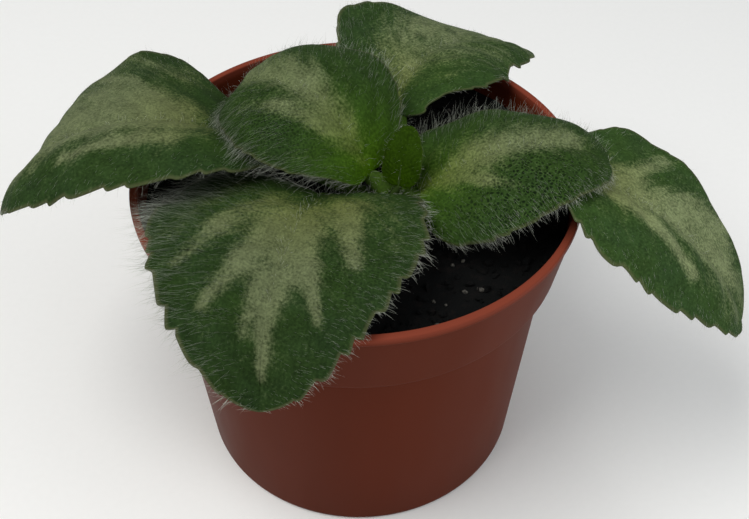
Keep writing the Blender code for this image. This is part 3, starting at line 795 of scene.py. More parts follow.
class PRIMULINA_OT_pot(bpy.types.Operator):
    """Make the moulded nursery pot with its lip, collar, step and drain holes"""

    bl_idname = "primulina.pot"
    bl_label = "Pot"

    def execute(self, context):
        shapes = bmesh.new()
        for hole in range(DRAIN_HOLES):
            angle = math.tau * (hole + 0.5) / DRAIN_HOLES
            place = Vector((math.cos(angle), math.sin(angle), 0.0)) * DRAIN_CIRCLE
            place.z = FLOOR_LIFT
            bmesh.ops.create_cone(
                shapes, cap_ends=True, segments=32, radius1=DRAIN_RADIUS * MM, radius2=DRAIN_RADIUS * MM,
                depth=4 * FLOOR * MM, matrix=Matrix.Translation(place * MM),
            )
        cutter = placed("drain_holes", mesh_from("drain_holes", shapes))
        wall = turned("pot_wall", pot_profile(), POT_TURNS, cutter)
        wall.set_sharp_from_angle(angle=math.radians(SHARP_ANGLE))
        add_piece("pot_wall", wall, moulded_polypropylene(context.scene.primulina_pot), "pot", "pot")
        return {"FINISHED"}


# The soil

def soil_height(x, y):
    """Height of the lumpy top of the soil at a place, in mm."""
    lumps, crumbs, grit = (
        noise.noise(Vector((x / size, y / size, layer)))
        for size, layer in ((LUMP_SIZE, 1.7), (CRUMB_SIZE, 5.1), (GRIT_SIZE, 3.3))
    )
    fading = 1.0 - (math.hypot(x, y) / (RIM_RADIUS - LIP_WIDTH)) ** 6
    return SOIL_TOP + SOIL_RELIEF * (lumps + 0.5 * crumbs) * fading + GRIT_RELIEF * grit


def place_on_soil(draw, inset):
    """A random place on the soil, so many mm inside its edge or more."""
    radius = (SOIL_EDGE - inset) * math.sqrt(draw.random())
    angle = draw.uniform(0, math.tau)
    return radius * math.cos(angle), radius * math.sin(angle)


def grains_on_soil(name, draw, grains, lift, squashes):
    """A mesh of irregular closed grains, given as places and widths in mm, with their middles lifted off the
    soil by a share of the width and their heights squashed at random."""
    shapes = bmesh.new()
    for x, y, size in grains:
        squash = draw.uniform(*squashes)
        turn = Matrix.Rotation(draw.uniform(0, math.tau), 4, "Z")
        turn = turn @ Matrix.Rotation(draw.uniform(0, math.pi), 4, "X")
        shift = Vector([draw.uniform(0, 50) for _ in range(3)])
        stretch = Vector((draw.uniform(0.7, 1.3), draw.uniform(0.6, 1.0), squash))
        centre = Vector((x, y, soil_height(x, y) + lift * size))
        for vertex in bmesh.ops.create_icosphere(shapes, subdivisions=2, radius=1.0)["verts"]:
            swell = 0.5 * size * (1 + 0.55 * noise.noise(vertex.co * 1.4 + shift))
            spot = Vector(a * b for a, b in zip(vertex.co, stretch)) * swell
            vertex.co = ((turn @ spot) + centre) * MM
    return mesh_from(name, shapes)


class PRIMULINA_OT_soil(bpy.types.Operator):
    """Make the potting mix that fills the pot, with loose crumbs on its top"""

    bl_idname = "primulina.soil"
    bl_label = "Soil"

    def execute(self, context):
        settings = context.scene.primulina_soil
        top = [(SOIL_EDGE * ring / SOIL_RINGS, SOIL_TOP) for ring in range(SOIL_RINGS + 1)]
        sides = [
            (COLLAR_FOOT_RADIUS - WALL - GAP, COLLAR_FOOT),
            (BODY_TOP_RADIUS - WALL - GAP, STEP_FOOT),
            (FOOT_INSIDE, SOIL_BOTTOM),
            (0.0, SOIL_BOTTOM),
        ]
        bed = turned("soil_bed", top + sides, SOIL_TURNS)
        for vertex in bed.vertices:
            if vertex.co.z > (SOIL_TOP - GAP) * MM:
                vertex.co.z = soil_height(vertex.co.x / MM, vertex.co.y / MM) * MM
        material = damp_potting_mix(settings)
        add_piece("soil_bed", bed, material, "soil", "soil")
        draw = random.Random(11)
        crumbs = ((*place_on_soil(draw, 1.0), draw.uniform(*CRUMB_WIDTHS)) for _ in range(settings.crumbs))
        mesh = grains_on_soil("soil_crumbs", draw, crumbs, 0.12, (0.4, 0.8))
        add_piece("soil_crumbs", mesh, material, "soil")
        return {"FINISHED"}


class PRIMULINA_OT_perlite(bpy.types.Operator):
    """Make the pale grains of perlite that lie in the top of the soil"""

    bl_idname = "primulina.perlite"
    bl_label = "Perlite"

    def execute(self, context):
        settings = context.scene.primulina_soil
        draw = random.Random(12)
        grains = list(PERLITE_SEEN)
        while len(grains) < len(PERLITE_SEEN) + settings.perlite:
            x, y = place_on_soil(draw, 1.5)
            if x <= PERLITE_CORNER[0] or y >= PERLITE_CORNER[1]:
                grains.append((x, y, draw.uniform(*PERLITE_WIDTHS)))
        mesh = grains_on_soil("perlite_grains", draw, grains, 0.15, (0.7, 1.0))
        mesh.shade_smooth()
        add_piece("perlite_grains", mesh, expanded_perlite(settings), "soil")
        return {"FINISHED"}


# A leaf blade: a flat outline, bent along its midrib and across it

def sample(along, values, where):
    return np.stack([np.interp(where, along, values[:, axis]) for axis in range(3)], -1)


def midrib(leaf):
    """The midrib, from behind the joint to the tip: shares, points, forward, left and up directions."""
    along = np.linspace(LOBE_REACH, 1.0, MIDRIB_SAMPLES)
    ahead = np.clip(along, 0.0, 1.0)
    heading = np.radians(leaf.heading + leaf.bend * ahead)
    slope = np.radians(leaf.rise - leaf.arch * ahead**ARCH_POWER - LOBE_DROOP * np.minimum(along, 0.0))
    forward = np.stack([np.cos(slope) * np.cos(heading), np.cos(slope) * np.sin(heading), np.sin(slope)], -1)
    steps = np.diff(along)[:, None] * leaf.length
    points = np.concatenate([np.zeros((1, 3)), np.cumsum((forward[:-1] + forward[1:]) / 2 * steps, 0)])
    points += np.array(leaf.joint) - sample(along, points, 0.0)
    level = np.stack([-np.sin(heading), np.cos(heading), 0.0 * heading], -1)
    above = np.cross(forward, level)
    roll = np.radians(leaf.roll + leaf.twist * ahead)[:, None]
    left = level * np.cos(roll) + above * np.sin(roll)
    up = above * np.cos(roll) - level * np.sin(roll)
    return along, points, forward, left, up


def bent(leaf, x, y):
    """Where points of the flat blade lie: x mm along the midrib, y mm to its left. Gives also the normals."""
    along, points, _, left, up = midrib(leaf)
    where = x / leaf.length
    side = np.where(y < 0, -1.0, 1.0)
    half = leaf.width / 2 * (1 + side * leaf.lean)
    across = np.abs(y) / half
    curl, tip_curl = side_share(leaf.curl, side), side_share(leaf.tip_curl, side)
    droop = curl + tip_curl * (np.clip(where, -0.2, 1.0) - 0.5) + MIDRIB_VALLEY
    out = np.zeros_like(across)
    down = np.zeros_like(across)
    for step in range(DROOP_STEPS):
        share = across * (step + 0.5) / DROOP_STEPS
        angle = np.radians(droop * share**DROOP_POWER - MIDRIB_VALLEY)
        out += np.cos(angle) * across * half / DROOP_STEPS
        down += np.sin(angle) * across * half / DROOP_STEPS
    angle = np.radians(droop * across**DROOP_POWER - MIDRIB_VALLEY)[..., None]
    sideways = sample(along, left, where) * side[..., None]
    upward = sample(along, up, where)
    normal = upward * np.cos(angle) + sideways * np.sin(angle)
    wave = WAVE_HEIGHT * leaf.scale * across**2 * np.sin(math.tau * x / WAVE_LENGTH + leaf.seed + 2 * side)
    place = sample(along, points, where) + sideways * out[..., None] - upward * down[..., None]
    return place + normal * wave[..., None], normal


def smooth_margin(leaf, turn, side):
    """The blade's outline without its teeth; turn runs from 0 at the base to pi at the tip."""
    lobe = leaf.lobe * np.sin(turn) ** 2 * (1 + np.cos(turn)) / 2
    notch = BASE_NOTCH * np.sin(2 * np.minimum(turn, math.pi / 2))
    x = leaf.length * ((1 - np.cos(turn)) / 2 - lobe - notch)
    y = leaf.width / 2 * (1 + side * leaf.lean) * np.sin(turn) * (1 + leaf.taper * np.cos(turn))
    for swollen, middle, height, spread in leaf.swells:
        if swollen == side:
            y = y + height * np.sin(turn) * np.exp(-(((turn - middle) / spread) ** 2))
    return x, side * y


def vein_root(leaf, turn):
    """Where the row that ends at this turn of the outline leaves the midrib."""
    return leaf.length * (turn / math.pi) ** VEIN_POWER


def running_total(steps):
    return np.concatenate([[0.0], np.cumsum(steps)])


def margin_teeth(leaf):
    """Turns of the outline from base to tip, the teeth passed at each, a little unevenly, and their count."""
    turn = np.linspace(0.0, math.pi, MARGIN_SAMPLES)
    x, y = smooth_margin(leaf, turn, 1)
    length = running_total(np.hypot(np.diff(x), np.diff(y)))
    share = length / length[-1]
    teeth = max(round(length[-1] / (TOOTH_PITCH * leaf.scale)), FEWEST_TEETH)
    drift = TOOTH_DRIFT * np.sin(math.pi * share) * np.sin(DRIFT_RATE * teeth * share + leaf.seed)
    return turn, teeth * share + drift, teeth


def tooth_profile(phase):
    """Height of one forward-pointing tooth with a rounded top, from its notch at 0 to the next notch at 1."""
    rising = (phase / TOOTH_TOP) ** 1.1
    falling = (1 - phase) / (1 - TOOTH_TOP)
    return (np.maximum(rising, 1e-3) ** -3 + np.maximum(falling, 1e-3) ** -3) ** (-1 / 3) * 1.15


def toothed_margin(leaf, turn, side):
    """The outline with its teeth at the given turns."""
    fine, passed, teeth = margin_teeth(leaf)
    count = np.interp(turn, fine, passed)
    index = np.minimum(np.floor(count).astype(int), teeth - 1)
    draw = random.Random(leaf.seed * 10 + side)
    depths = np.array([TOOTH_DEPTH * leaf.scale * draw.uniform(*TOOTH_VARIATION) for _ in range(teeth)])
    depths[[0, -1]] = 0.0
    ahead, behind = (np.stack(smooth_margin(leaf, turn + step, side), -1) for step in (0.01, -0.01))
    forward = unit(ahead - behind)
    outward = side * np.stack([-forward[:, 1], forward[:, 0]], -1)
    depth = depths[index] * np.clip((turn - TEETH_BEGIN) / (TEETH_FULL - TEETH_BEGIN), 0.0, 1.0)
    depth = depth * leaf.teeth[0 if side > 0 else 1]
    height = depth * (tooth_profile(np.maximum(count - index, 1e-3)) - TOOTH_MIDDLE)
    shift = (outward + TOOTH_LEAN * forward) * height[:, None]
    return (np.stack(smooth_margin(leaf, turn, side), -1) + shift).T


def margin_turns(leaf):
    """Turns of the outline at which the blade has a row of points."""
    fine, passed, teeth = margin_teeth(leaf)
    places = [tooth + phase for tooth in range(teeth) for phase in ROW_PHASES]
    turns = np.interp(places[1:] + [teeth], passed, fine)
    kept = [turns[0]]
    for turn in turns[1:]:
        if vein_root(leaf, turn) - vein_root(leaf, kept[-1]) > ROW_SPACING * leaf.scale:
            kept.append(turn)
    return np.array(kept)


def flat_blade(leaf):
    """The flat blade in triangles: places, share from midrib to margin, triangles, the margin in order."""
    turns = margin_turns(leaf)
    roots = np.concatenate([[0.0], vein_root(leaf, turns)])
    shares = np.linspace(0.0, 1.0, RINGS + 1) ** 0.9
    grids, parts, triangles = [], [], []
    for side in (1, -1):
        margin_x, margin_y = (np.concatenate([[0.0], values]) for values in toothed_margin(leaf, turns, side))
        margin_x[-1], margin_y[-1] = leaf.length, 0.0
        x = roots[:, None] * (1 - shares) + margin_x[:, None] * shares
        y = margin_y[:, None] * shares
        grids.append(np.stack([x, y, np.broadcast_to(shares, x.shape)], -1).reshape(-1, 3))
        number = np.arange(x.size).reshape(x.shape) + (0 if side > 0 else x.size)
        quad = np.stack([number[:-1, :-1], number[1:, :-1], number[1:, 1:], number[:-1, 1:]], -1)
        quad = quad.reshape(-1, 4)
        if side < 0:
            quad = quad[:, ::-1]
        triangles.append(np.concatenate([quad[:, [0, 1, 2]], quad[:, [0, 2, 3]]]))
        parts.append(number[:, -1])
    everything = np.concatenate(grids)
    _, first, index = np.unique(
        np.round(everything[:, :2], 4), axis=0, return_index=True, return_inverse=True
    )
    index = index.reshape(-1)
    faces = index[np.concatenate(triangles)]
    whole = (faces != np.roll(faces, -1, 1)).all(1)
    edge = index[np.concatenate([parts[0], parts[1][::-1]])]
    edge = edge[np.concatenate([[True], edge[1:] != edge[:-1]])]
    if edge[0] == edge[-1]:
        edge = edge[:-1]
    flat = everything[first]
    return flat[:, :2], flat[:, 2], faces[whole], edge


def vein_phase(leaf, x, y):
    """Counts the side veins that a place lies between; whole numbers lie on a vein."""
    pitch = VEIN_PITCH * leaf.scale * leaf.length / PITCHED_LENGTH
    return (x - VEIN_LEAN * np.abs(y) - VEIN_CURVE * y * y) / pitch + 0.4


def blade_surfaces(leaf):
    """Upper and lower places of the blade, its normals, and what flat_blade gives."""
    flat, share, faces, edge = flat_blade(leaf)
    x, y = flat.T
    place, normal = bent(leaf, x, y)
    phase = vein_phase(leaf, x, y)
    near = np.abs(phase - np.round(phase))
    open_part = np.clip(np.abs(y) / 3.0, 0.0, 1.0) * (1 - share**3)
    puff = PUFF * leaf.scale * (1 - np.cos(math.tau * near)) / 2 * open_part
    ridge = VEIN_RIDGE * leaf.scale * np.exp(-((near / VEIN_WIDTH) ** 2)) * open_part
    thickness = between(BLADE_THICKNESS, MARGIN_THICKNESS, share**2) * leaf.scale
    upper = place + normal * (thickness / 2 + puff - 0.5 * ridge)[:, None]
    lower = place - normal * (thickness / 2 - puff * 0.6 + ridge)[:, None]
    return upper, lower, normal, flat, share, faces, edge


def stalk_route(leaf):
    """Points and radii of the stalk, from inside the crown to the joint, and of the rib under the midrib."""
    along, points, forward, _, up = midrib(leaf)
    heading, rise = math.radians(leaf.stalk_heading), math.radians(leaf.stalk_rise)
    level = np.array([math.cos(heading), math.sin(heading), 0.0])
    leaving = level * math.cos(rise) + np.array([0.0, 0.0, math.sin(rise)])
    start = np.array([*CROWN_AT, leaf.stalk_height]) + level * STALK_START
    joint = np.array(leaf.joint) - sample(along, up, 0.0) * STALK_SINK * leaf.scale
    reach = np.linalg.norm(joint - start)
    arriving = sample(along, forward, 0.0)
    t = np.linspace(0.0, 1.0, STALK_STEPS)[:, None]
    stalk = (
        start * (2 * t**3 - 3 * t**2 + 1)
        + leaving * STALK_LEAVING * reach * (t**3 - 2 * t**2 + t)
        + joint * (3 * t**2 - 2 * t**3)
        + arriving * STALK_ARRIVING * reach * (t**3 - t**2)
    )
    radii = between(leaf.stalk_radius, STALK_NECK * STALK_RADIUS, t[:, 0]) * leaf.scale
    shares = np.linspace(0.05, RIB_END, RIB_STEPS)
    rib_radii = between(STALK_NECK * STALK_RADIUS, RIB_END_RADIUS, shares / RIB_END) * leaf.scale
    sunk = (0.35 + 0.45 * (rib_radii - RIB_END_RADIUS)) * leaf.scale
    rib = sample(along, points, shares) - sample(along, up, shares) * sunk[:, None]
    return np.concatenate([stalk, rib]), np.concatenate([radii, rib_radii])


def tube(points, radii, sides):
    """A closed tube along points: places, outward directions and triangles."""
    forward = unit(np.gradient(points, axis=0))
    side = np.cross(forward[0], [0.0, 0.0, 1.0])
    across = []
    for ahead in forward:
        side = side - ahead * np.dot(side, ahead)
        side = side / np.linalg.norm(side)
        across.append(side)
    across = np.array(across)
    above = np.cross(forward, across)
    angle = math.tau * np.arange(sides) / sides
    outward = across[:, None] * np.cos(angle)[:, None] + above[:, None] * np.sin(angle)[:, None]
    rings = points[:, None] + outward * radii[:, None, None]
    middle = len(points) * sides
    number = np.arange(middle).reshape(len(points), sides)
    after = np.roll(number, -1, 1)
    quad = np.stack([number[:-1], after[:-1], after[1:], number[1:]], -1).reshape(-1, 4)
    faces = np.concatenate([
        quad[:, [0, 2, 1]], quad[:, [0, 3, 2]],
        np.stack([number[0], after[0], np.full(sides, middle)], -1),
        np.stack([after[-1], number[-1], np.full(sides, middle + 1)], -1),
    ])
    places = np.concatenate([rings.reshape(-1, 3), points[:1], points[-1:]])
    directions = np.concatenate([outward.reshape(-1, 3), -forward[:1], forward[-1:]])
    return places, directions, faces


def paleness(streaks, x, y):
    """How pale each place of a blade is, from 0 to 1; where streaks meet, they add up to 1 at most."""
    green = np.ones_like(x)
    for from_x, from_y, to_x, to_y, start, end, strength in streaks:
        along_x, along_y = to_x - from_x, to_y - from_y
        share = ((x - from_x) * along_x + (y - from_y) * along_y) / (along_x**2 + along_y**2)
        share = np.clip(share, 0.0, 1.0)
        distance = np.hypot(x - from_x - along_x * share, y - from_y - along_y * share)
        green = green * (1 - strength * 0.5 ** ((distance / between(start, end, share)) ** 2))
    return 1 - green


def base_share(leaf, x, y):
    """How near a place is to the foot of the blade: 1 there, and 0 from half its length on."""
    return np.clip(1 - np.hypot(x, y) / (0.5 * leaf.length), 0.0, 1.0)


def leaf_mesh(name, leaf):
    """The whole leaf: blade with a rounded edge, stalk and rib, with its markings as attributes.

    Flat and veins are places for the patterns, the second drawn out along the veins. Tone holds paleness,
    youth, underside and the cream of the margin; skin holds painted light and shade, depth of the pits and
    nearness to the foot of the blade.
    """
    upper, lower, _, flat, share, faces, edge = blade_surfaces(leaf)
    x, y = flat.T
    middle = ((upper + lower) / 2)[edge]
    inner = bent(leaf, x[edge] * 0.97, y[edge] * 0.94)[0]
    rim = middle + unit(middle - inner) * MARGIN_THICKNESS * 0.4 * leaf.scale
    count, blade_count = len(flat), 2 * len(flat) + len(edge)
    rows = (edge, np.arange(2 * count, blade_count), count + edge)
    sides = [
        np.stack(corners, -1)
        for row, below in zip(rows, rows[1:])
        for corners in ((row, np.roll(row, -1), np.roll(below, -1)), (row, np.roll(below, -1), below))
    ]
    stalk, _, stalk_faces = tube(*stalk_route(leaf), STALK_SIDES)
    mesh = mesh_of(
        name, np.concatenate([upper, lower, rim, stalk]),
        np.concatenate([faces, faces[:, ::-1] + count, *sides, stalk_faces + blade_count]),
    )

    # Markings of the flat blade, spread over its two faces and its rim, with one value for the stalk
    blade = np.concatenate([np.arange(count), np.arange(count), edge])
    pale = paleness(leaf.streaks, x, y)
    near_base = base_share(leaf, x, y)
    youth = between(*leaf.youth, near_base**1.5)
    middle_x, middle_y, reach, depth = leaf.pits
    # Depth of the pits: it sinks them in the bump and sets how much painted shade darkens them
    pits = PITS_EVERYWHERE + depth * np.exp(-(((x - middle_x) ** 2 + (y - middle_y) ** 2) / reach**2))
    pits = pits * (1 - 0.6 * pale) * (1 - 0.8 * youth)
    # Painted light and shade: a scale of the blade's colour from foot to tip, for how the light falls on each
    # leaf
    brightness = between(*leaf.brightness, np.clip(x / leaf.length, 0.0, 1.0) ** 3)
    grown = 1 - youth
    cream = np.clip((share - 0.98) / 0.02, 0.0, 1.0) * grown
    pale, youth, cream, brightness, pits, near_base = (
        np.concatenate([values[blade], np.full(len(stalk), on_stalk)])
        for values, on_stalk in (
            (pale, STALK_PALENESS), (youth, STALK_YOUTH), (cream, 0.0),
            (brightness, STALK_PAINTED_LIGHTING * leaf.brightness[0]), (pits, STALK_PITS), (near_base, 1.0),
        )
    )
    cream[2 * count:blade_count] = grown[edge]
    underside = np.repeat([0.0, 1.0, 0.3, 0.25], [count, count, len(edge), len(stalk)])

    places = np.concatenate([np.pad(flat[blade], ((0, 0), (0, 1))), stalk]) * MM
    places[:, 2] += leaf.seed * 0.1
    along_veins = places.copy()
    distance = np.abs(places[:, 1])
    along_veins[:, 0] -= VEIN_LEAN * distance + VEIN_CURVE / MM * distance**2
    along_veins[:, 1] *= STREAK_STRETCH
    store_markings(mesh, places, along_veins, (pale, youth, underside, cream), (brightness, pits, near_base))
    return mesh


def store_markings(mesh, flat, veins, tone, skin):
    """Stores what the leaf material reads: two sets of places, and the columns of tone and skin."""
    store(mesh, "flat", "FLOAT_VECTOR", flat)
    store(mesh, "veins", "FLOAT_VECTOR", veins)
    store(mesh, "tone", "FLOAT_COLOR", np.stack(tone, -1))
    store(mesh, "skin", "FLOAT_VECTOR", np.stack(skin, -1))


class PRIMULINA_OT_leaves(bpy.types.Operator):
    """Make the leaves with their teeth, veins, stalks and pale streaks"""

    bl_idname = "primulina.leaves"
    bl_label = "Leaves"

    def execute(self, context):
        material = living_leaf(context.scene.primulina_leaf)
        for name, leaf in LEAVES.items():
            add_piece(name + "_blade", leaf_mesh(name, leaf), material, "leaf", name)
        return {"FINISHED"}


# The crown

class PRIMULINA_OT_crown(bpy.types.Operator):
    """Make the short thick stem that the leaf stalks grow from"""

    bl_idname = "primulina.crown"
    bl_label = "Crown"

    def execute(self, context):
        shoulder = CROWN_TOP - CROWN_SHOULDER
        bottom = POT_HEIGHT - CROWN_DEPTH
        rounding = [
            ((CROWN_RADIUS - 0.4) * math.sin(turn), shoulder + CROWN_SHOULDER * math.cos(turn))
            for turn in (math.pi / 2 * step / 10 for step in range(11))
        ]
        foot = [(CROWN_RADIUS, SOIL_TOP - 1.0), (CROWN_RADIUS - 0.8, bottom), (0.0, bottom)]
        mesh = turned("crown_stem", rounding + foot, CROWN_TURNS)
        mesh.transform(Matrix.Translation((CROWN_AT[0] * MM, CROWN_AT[1] * MM, 0.0)))
        places = np.array([vertex.co for vertex in mesh.vertices])
        tone, skin = (
            [np.full(len(places), value) for value in values]
            for values in ((0.15, 0.9, 0.0, 0.0), (1.0, STALK_PITS, 1.0))
        )
        store_markings(mesh, places, places, tone, skin)
        material = bpy.data.materials.get(LEAF_MATERIAL)
        if material is None:
            raise RuntimeError("The crown takes its material from the leaves: make them first")
        add_piece("crown_stem", mesh, material, "crown", "crown")
        return {"FINISHED"}


# Hairs

def hair_arrays(roots, directions, droops, lengths, radius, rings):
    """Three-sided tapering hairs, closed at both ends, that bend towards their droops: places, triangles
    and how far along its hair each place is."""
    steps = np.arange(rings + 1) / rings
    along = directions[:, None] * steps[:, None] + droops[:, None] * (steps**2)[:, None]
    centres = roots[:, None] + along * lengths[:, None, None]
    side = unit(np.cross(directions, [0.3, 0.2, 0.93]))
    other = np.cross(directions, side)
    angle = math.tau * np.arange(3) / 3
    spokes = side[:, None] * np.cos(angle)[:, None] + other[:, None] * np.sin(angle)[:, None]
    widths = radius * (1 - 0.8 * steps[:rings])
    points = centres[:, :rings, None] + spokes[:, None] * widths[:, None, None]
    count, tip = len(roots), rings * 3
    places = np.concatenate([points.reshape(count, tip, 3), centres[:, rings:]], 1)
    pattern = [(0, 2, 1)]
    for a in range(tip):
        b = a - 2 if a % 3 == 2 else a + 1
        pattern += [(a, b, b + 3), (a, b + 3, a + 3)] if a < tip - 3 else [(a, b, tip)]
    triangles = np.arange(count)[:, None, None] * (tip + 1) + np.array(pattern)
    reach = np.tile(np.concatenate([np.repeat(steps[:rings], 3), [1.0]]), count)
    return places.reshape(-1, 3), triangles.reshape(-1, 3), reach


def joined(groups):
    """Several sets of hairs as one."""
    places, triangles, reaches = zip(*groups)
    starts = np.cumsum([0, *map(len, places[:-1])])
    triangles = [part + start for part, start in zip(triangles, starts)]
    return np.concatenate(places), np.concatenate(triangles), np.concatenate(reaches)


def scattered(draw, places, faces, density):
    """Random places on triangles, by the hairs per square mm of each: its corners and their weights."""
    corners = places[faces]
    areas = np.linalg.norm(np.cross(corners[:, 1] - corners[:, 0], corners[:, 2] - corners[:, 0]), axis=1) / 2
    expected = areas * density
    chosen = draw.choice(len(faces), int(expected.sum()), p=expected / expected.sum())
    first, second = np.sqrt(draw.random(len(chosen))), draw.random(len(chosen))
    weights = np.stack([1 - first, first * (1 - second), first * second], -1)
    return faces[chosen], weights


def blended(values, faces, weights):
    return (values[faces] * weights[..., None]).sum(1)


def within_reach(roots, directions, droops, lengths):
    """Lengths cut so that no hair stands further out of the solids' box than it may."""
    low = np.array(CAD_BOX[0]) / MM - HAIR_REACH
    high = np.array(CAD_BOX[1]) / MM + HAIR_REACH
    way = directions + droops
    room = np.where(way > 0, high - roots, roots - low) / np.maximum(np.abs(way), 1e-6)
    return np.minimum(lengths, np.maximum(room.min(axis=1), 0.1))


def outward_lean(leaf, x, y):
    """Directions along the bent blade, away from its midrib and a little towards its tip."""
    outer = bent(leaf, x + 0.3 * leaf.scale, y + 0.6 * np.sign(y) * leaf.scale)[0]
    return unit(outer - bent(leaf, x, y)[0])


def length_share(leaf, x):
    """How long the hairs are from foot to tip of a blade, beside those in between."""
    return np.interp(x / leaf.length, ALONG_BLADE, (FOOT_LENGTH, 1.0, leaf.tip_hairs))


def hair_length(leaf, settings):
    return settings.length / MM * between(0.45, 1.0, leaf.scale)


def surface_hairs(draw, leaf, settings, blade, way):
    """Hairs over one face of a blade: short, few and green in its middle, long and whitish by its margin."""
    upper, lower, normal, flat, share, faces, _ = blade
    x, y = flat.T
    surface = upper if way > 0 else lower
    full = settings.density / leaf.scale * (1.0 if way > 0 else UNDERSIDE_SHARE)
    coat = side_share(leaf.coat, y) * (0.3 + 0.7 * share**2) * (1 - 0.7 * base_share(leaf, x, y))
    spots, weights = scattered(draw, surface, faces, full * coat[faces].mean(1))
    count = len(spots)
    roots = blended(surface, spots, weights)
    up = unit(blended(normal, spots, weights)) * way
    out = unit(blended(outward_lean(leaf, x, y), spots, weights))
    outwards, root_x, root_y = ((values[spots] * weights).sum(1) for values in (share, x, y))
    directions = unit(
        up * draw.uniform(0.3, 1.2, count)[:, None] + out * (0.6 + 0.5 * outwards)[:, None]
        + draw.normal(0, 0.25, (count, 3))
    )
    droops = out * draw.uniform(0.1, 0.9, count)[:, None] + draw.normal(0, 0.16, (count, 3))
    droops[:, 2] -= 0.15
    size = hair_length(leaf, settings) * (0.3 + 0.7 * outwards**2) * (1.0 if way > 0 else UNDERSIDE_LENGTH)
    size = size * side_share(leaf.hair_lengths, root_y) * length_share(leaf, root_x)
    lengths = within_reach(roots, directions, droops, size * draw.uniform(0.45, 1.2, count))
    radius = SURFACE_WIDTH * settings.width / MM
    places, triangles, reach = hair_arrays(
        roots - up * 0.08, directions, droops, lengths, radius, SURFACE_HAIR_RINGS
    )
    whiter = between(0.3, 1.0, outwards**2)
    return places, triangles, reach * np.repeat(whiter, len(reach) // count)


def fringe(draw, leaf, settings, blade):
    """The long, gently curved hairs that stand out from the margin of a blade."""
    upper, lower, normal, flat, _, _, edge = blade
    x, y = flat[edge].T
    loop = (upper[edge] + lower[edge]) / 2
    gaps = np.linalg.norm(np.roll(loop, -1, 0) - loop, axis=1)
    distance = running_total(gaps)
    crowding = np.interp(x / leaf.length, ALONG_BLADE, FRINGE_CROWDING)
    crowding = crowding * np.where(x < FOOT_END * leaf.length, leaf.foot_crowding, 1.0)
    passed = running_total(side_share(leaf.coat, y) * gaps * crowding)
    count = int(passed[-1] * FRINGE_PER_MM)
    spots = np.interp(draw.uniform(0, passed[-1], count), passed, distance)
    roots, out, up = (
        sample(distance, np.append(values, values[:1], 0), spots)
        for values in (loop, outward_lean(leaf, x, y), normal[edge])
    )
    out = unit(out)
    directions = unit(out + up * draw.normal(0.2, 0.4, count)[:, None] + draw.normal(0, 0.22, (count, 3)))
    droops = draw.normal(0, 0.2, (count, 3)) + np.array([0.0, 0.0, -0.2])
    share = length_share(leaf, x) * side_share(leaf.hair_lengths, y)
    share = np.interp(spots, distance, np.append(share, share[0]))
    lengths = hair_length(leaf, settings) * share * draw.uniform(0.35, 1.25, count)
    lengths = within_reach(roots, directions, droops, lengths)
    radius = settings.width / MM * leaf.margin_width
    places, triangles, reach = hair_arrays(
        roots - out * 0.15, directions, droops, lengths, radius, FRINGE_RINGS
    )
    return places, triangles, between(0.3, 1.0, reach)


def stalk_hairs(draw, leaf, settings):
    """The short hairs all over a stalk and the rib under its blade."""
    places, outward, faces = tube(*stalk_route(leaf), STALK_SIDES)
    spots, weights = scattered(draw, places, faces, STALK_HAIRS)
    count = len(spots)
    roots = blended(places, spots, weights)
    directions = unit(unit(blended(outward, spots, weights)) + draw.normal(0, 0.3, (count, 3)))
    droops = draw.normal(0, 0.15, (count, 3))
    lengths = hair_length(leaf, settings) * 0.75 * draw.uniform(0.5, 1.1, count)
    return hair_arrays(roots, directions, droops, lengths, settings.width / MM, STALK_HAIR_RINGS)


class PRIMULINA_OT_hairs(bpy.types.Operator):
    """Make the clear hairs on every leaf's two sides, margin and stalk"""

    bl_idname = "primulina.hairs"
    bl_label = "Hairs"

    def execute(self, context):
        settings = context.scene.primulina_leaf
        material = clear_hair(settings)
        for name, leaf in LEAVES.items():
            draw = np.random.RandomState(leaf.seed + 100)
            blade = blade_surfaces(leaf)
            places, triangles, reach = joined([
                surface_hairs(draw, leaf, settings, blade, 1.0),
                surface_hairs(draw, leaf, settings, blade, -1.0),
                fringe(draw, leaf, settings, blade),
                stalk_hairs(draw, leaf, settings),
            ])
            mesh = mesh_of(name + "_hairs", places, triangles)
            store(mesh, "reach", "FLOAT", reach)
            add_piece(name + "_hairs", mesh, material, "leaf")
        return {"FINISHED"}


# The stage

def add_lamp(name, size, power, place, colour):
    """A soft round lamp that points at the plant, from a place in mm."""
    data = bpy.data.lights.new(name, "AREA")
    data.shape = "DISK"
    data.size = size * MM
    data.energy = power
    data.color = colour
    lamp = placed(name, data)
    lamp.location = Vector(place) * MM
    lamp.rotation_euler = (Vector(LAMP_AIM) - Vector(place)).to_track_quat("-Z", "Y").to_euler()


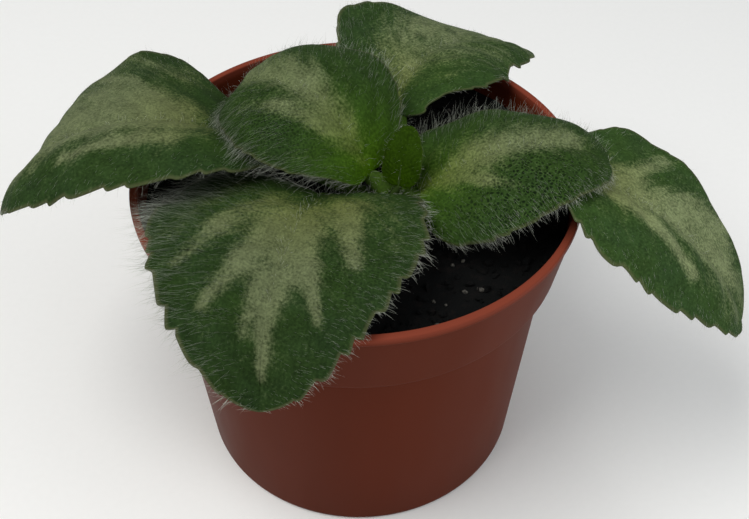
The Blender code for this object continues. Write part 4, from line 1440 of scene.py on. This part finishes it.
class PRIMULINA_OT_stage(bpy.types.Operator):
    """Make the pale floor, the soft studio light and the camera"""

    bl_idname = "primulina.stage"
    bl_label = "Stage"

    def execute(self, context):
        settings = context.scene.primulina_stage
        scene = context.scene
        grid = bmesh.new()
        bmesh.ops.create_grid(grid, x_segments=8, y_segments=8, size=FLOOR_SIZE * MM / 2)
        floor = placed("paper_floor", mesh_from("paper_floor", grid))
        floor.data.materials.append(matt_paper(settings))
        floor.location.z = -0.02 * MM
        add_lamp("key_lamp", 420, settings.key, (-240, -110, 540), (1.0, 0.985, 0.96))
        add_lamp("fill_lamp", 500, settings.fill, (380, -200, 300), (0.95, 0.975, 1.0))
        world = scene.world or bpy.data.worlds.new("studio")
        scene.world = world
        world.use_nodes = True
        sky = world.node_tree.nodes["Background"].inputs
        sky["Color"].default_value = (0.96, 0.98, 1.0, 1.0)
        sky["Strength"].default_value = settings.sky
        scene.view_settings.view_transform = "Standard"
        data = bpy.data.cameras.new("camera")
        data.lens = CAMERA_LENS
        data.sensor_width = 36.0
        data.clip_start = 0.01
        camera = placed("camera", data)
        at, aim = Vector(CAMERA_AT) * MM, Vector(CAMERA_AIM) * MM
        turn = (aim - at).to_track_quat("-Z", "Y").to_matrix().to_4x4()
        roll = Matrix.Rotation(math.radians(CAMERA_ROLL), 4, "Z")
        camera.matrix_world = Matrix.Translation(at) @ turn @ roll
        scene.camera = camera
        return {"FINISHED"}


class PRIMULINA_PT_panel(bpy.types.Panel):
    """Buttons that make each piece, and what can be changed about them"""

    bl_idname = "PRIMULINA_PT_panel"
    bl_label = "Primulina"
    bl_space_type = "VIEW_3D"
    bl_region_type = "UI"
    bl_category = "Primulina"

    def draw(self, context):
        for title, group, operators in PANEL_ROWS:
            box = self.layout.box()
            box.label(text=title)
            settings = getattr(context.scene, group)
            for name in settings.__annotations__:
                box.prop(settings, name)
            for operator in operators:
                box.operator(operator)


PANEL_ROWS = (
    ("Pot", "primulina_pot", ("primulina.pot",)),
    ("Soil", "primulina_soil", ("primulina.soil", "primulina.perlite")),
    ("Plant", "primulina_leaf", ("primulina.leaves", "primulina.crown", "primulina.hairs")),
    ("Stage", "primulina_stage", ("primulina.stage",)),
)

GROUPS = {
    "primulina_pot": PrimulinaPotSettings,
    "primulina_soil": PrimulinaSoilSettings,
    "primulina_leaf": PrimulinaLeafSettings,
    "primulina_stage": PrimulinaStageSettings,
}

CLASSES = (
    *GROUPS.values(),
    PRIMULINA_OT_pot,
    PRIMULINA_OT_soil,
    PRIMULINA_OT_perlite,
    PRIMULINA_OT_leaves,
    PRIMULINA_OT_crown,
    PRIMULINA_OT_hairs,
    PRIMULINA_OT_stage,
    PRIMULINA_PT_panel,
)


def register():
    for cls in CLASSES:
        bpy.utils.register_class(cls)
    for name, group in GROUPS.items():
        setattr(bpy.types.Scene, name, PointerProperty(type=group))


def unregister():
    for name in GROUPS:
        delattr(bpy.types.Scene, name)
    for cls in reversed(CLASSES):
        bpy.utils.unregister_class(cls)


def main():
    register()
    bpy.ops.primulina.stage()
    bpy.ops.primulina.pot()
    bpy.ops.primulina.soil()
    bpy.ops.primulina.perlite()
    bpy.ops.primulina.leaves()
    bpy.ops.primulina.crown()
    bpy.ops.primulina.hairs()


if __name__ == "__main__":
    main()
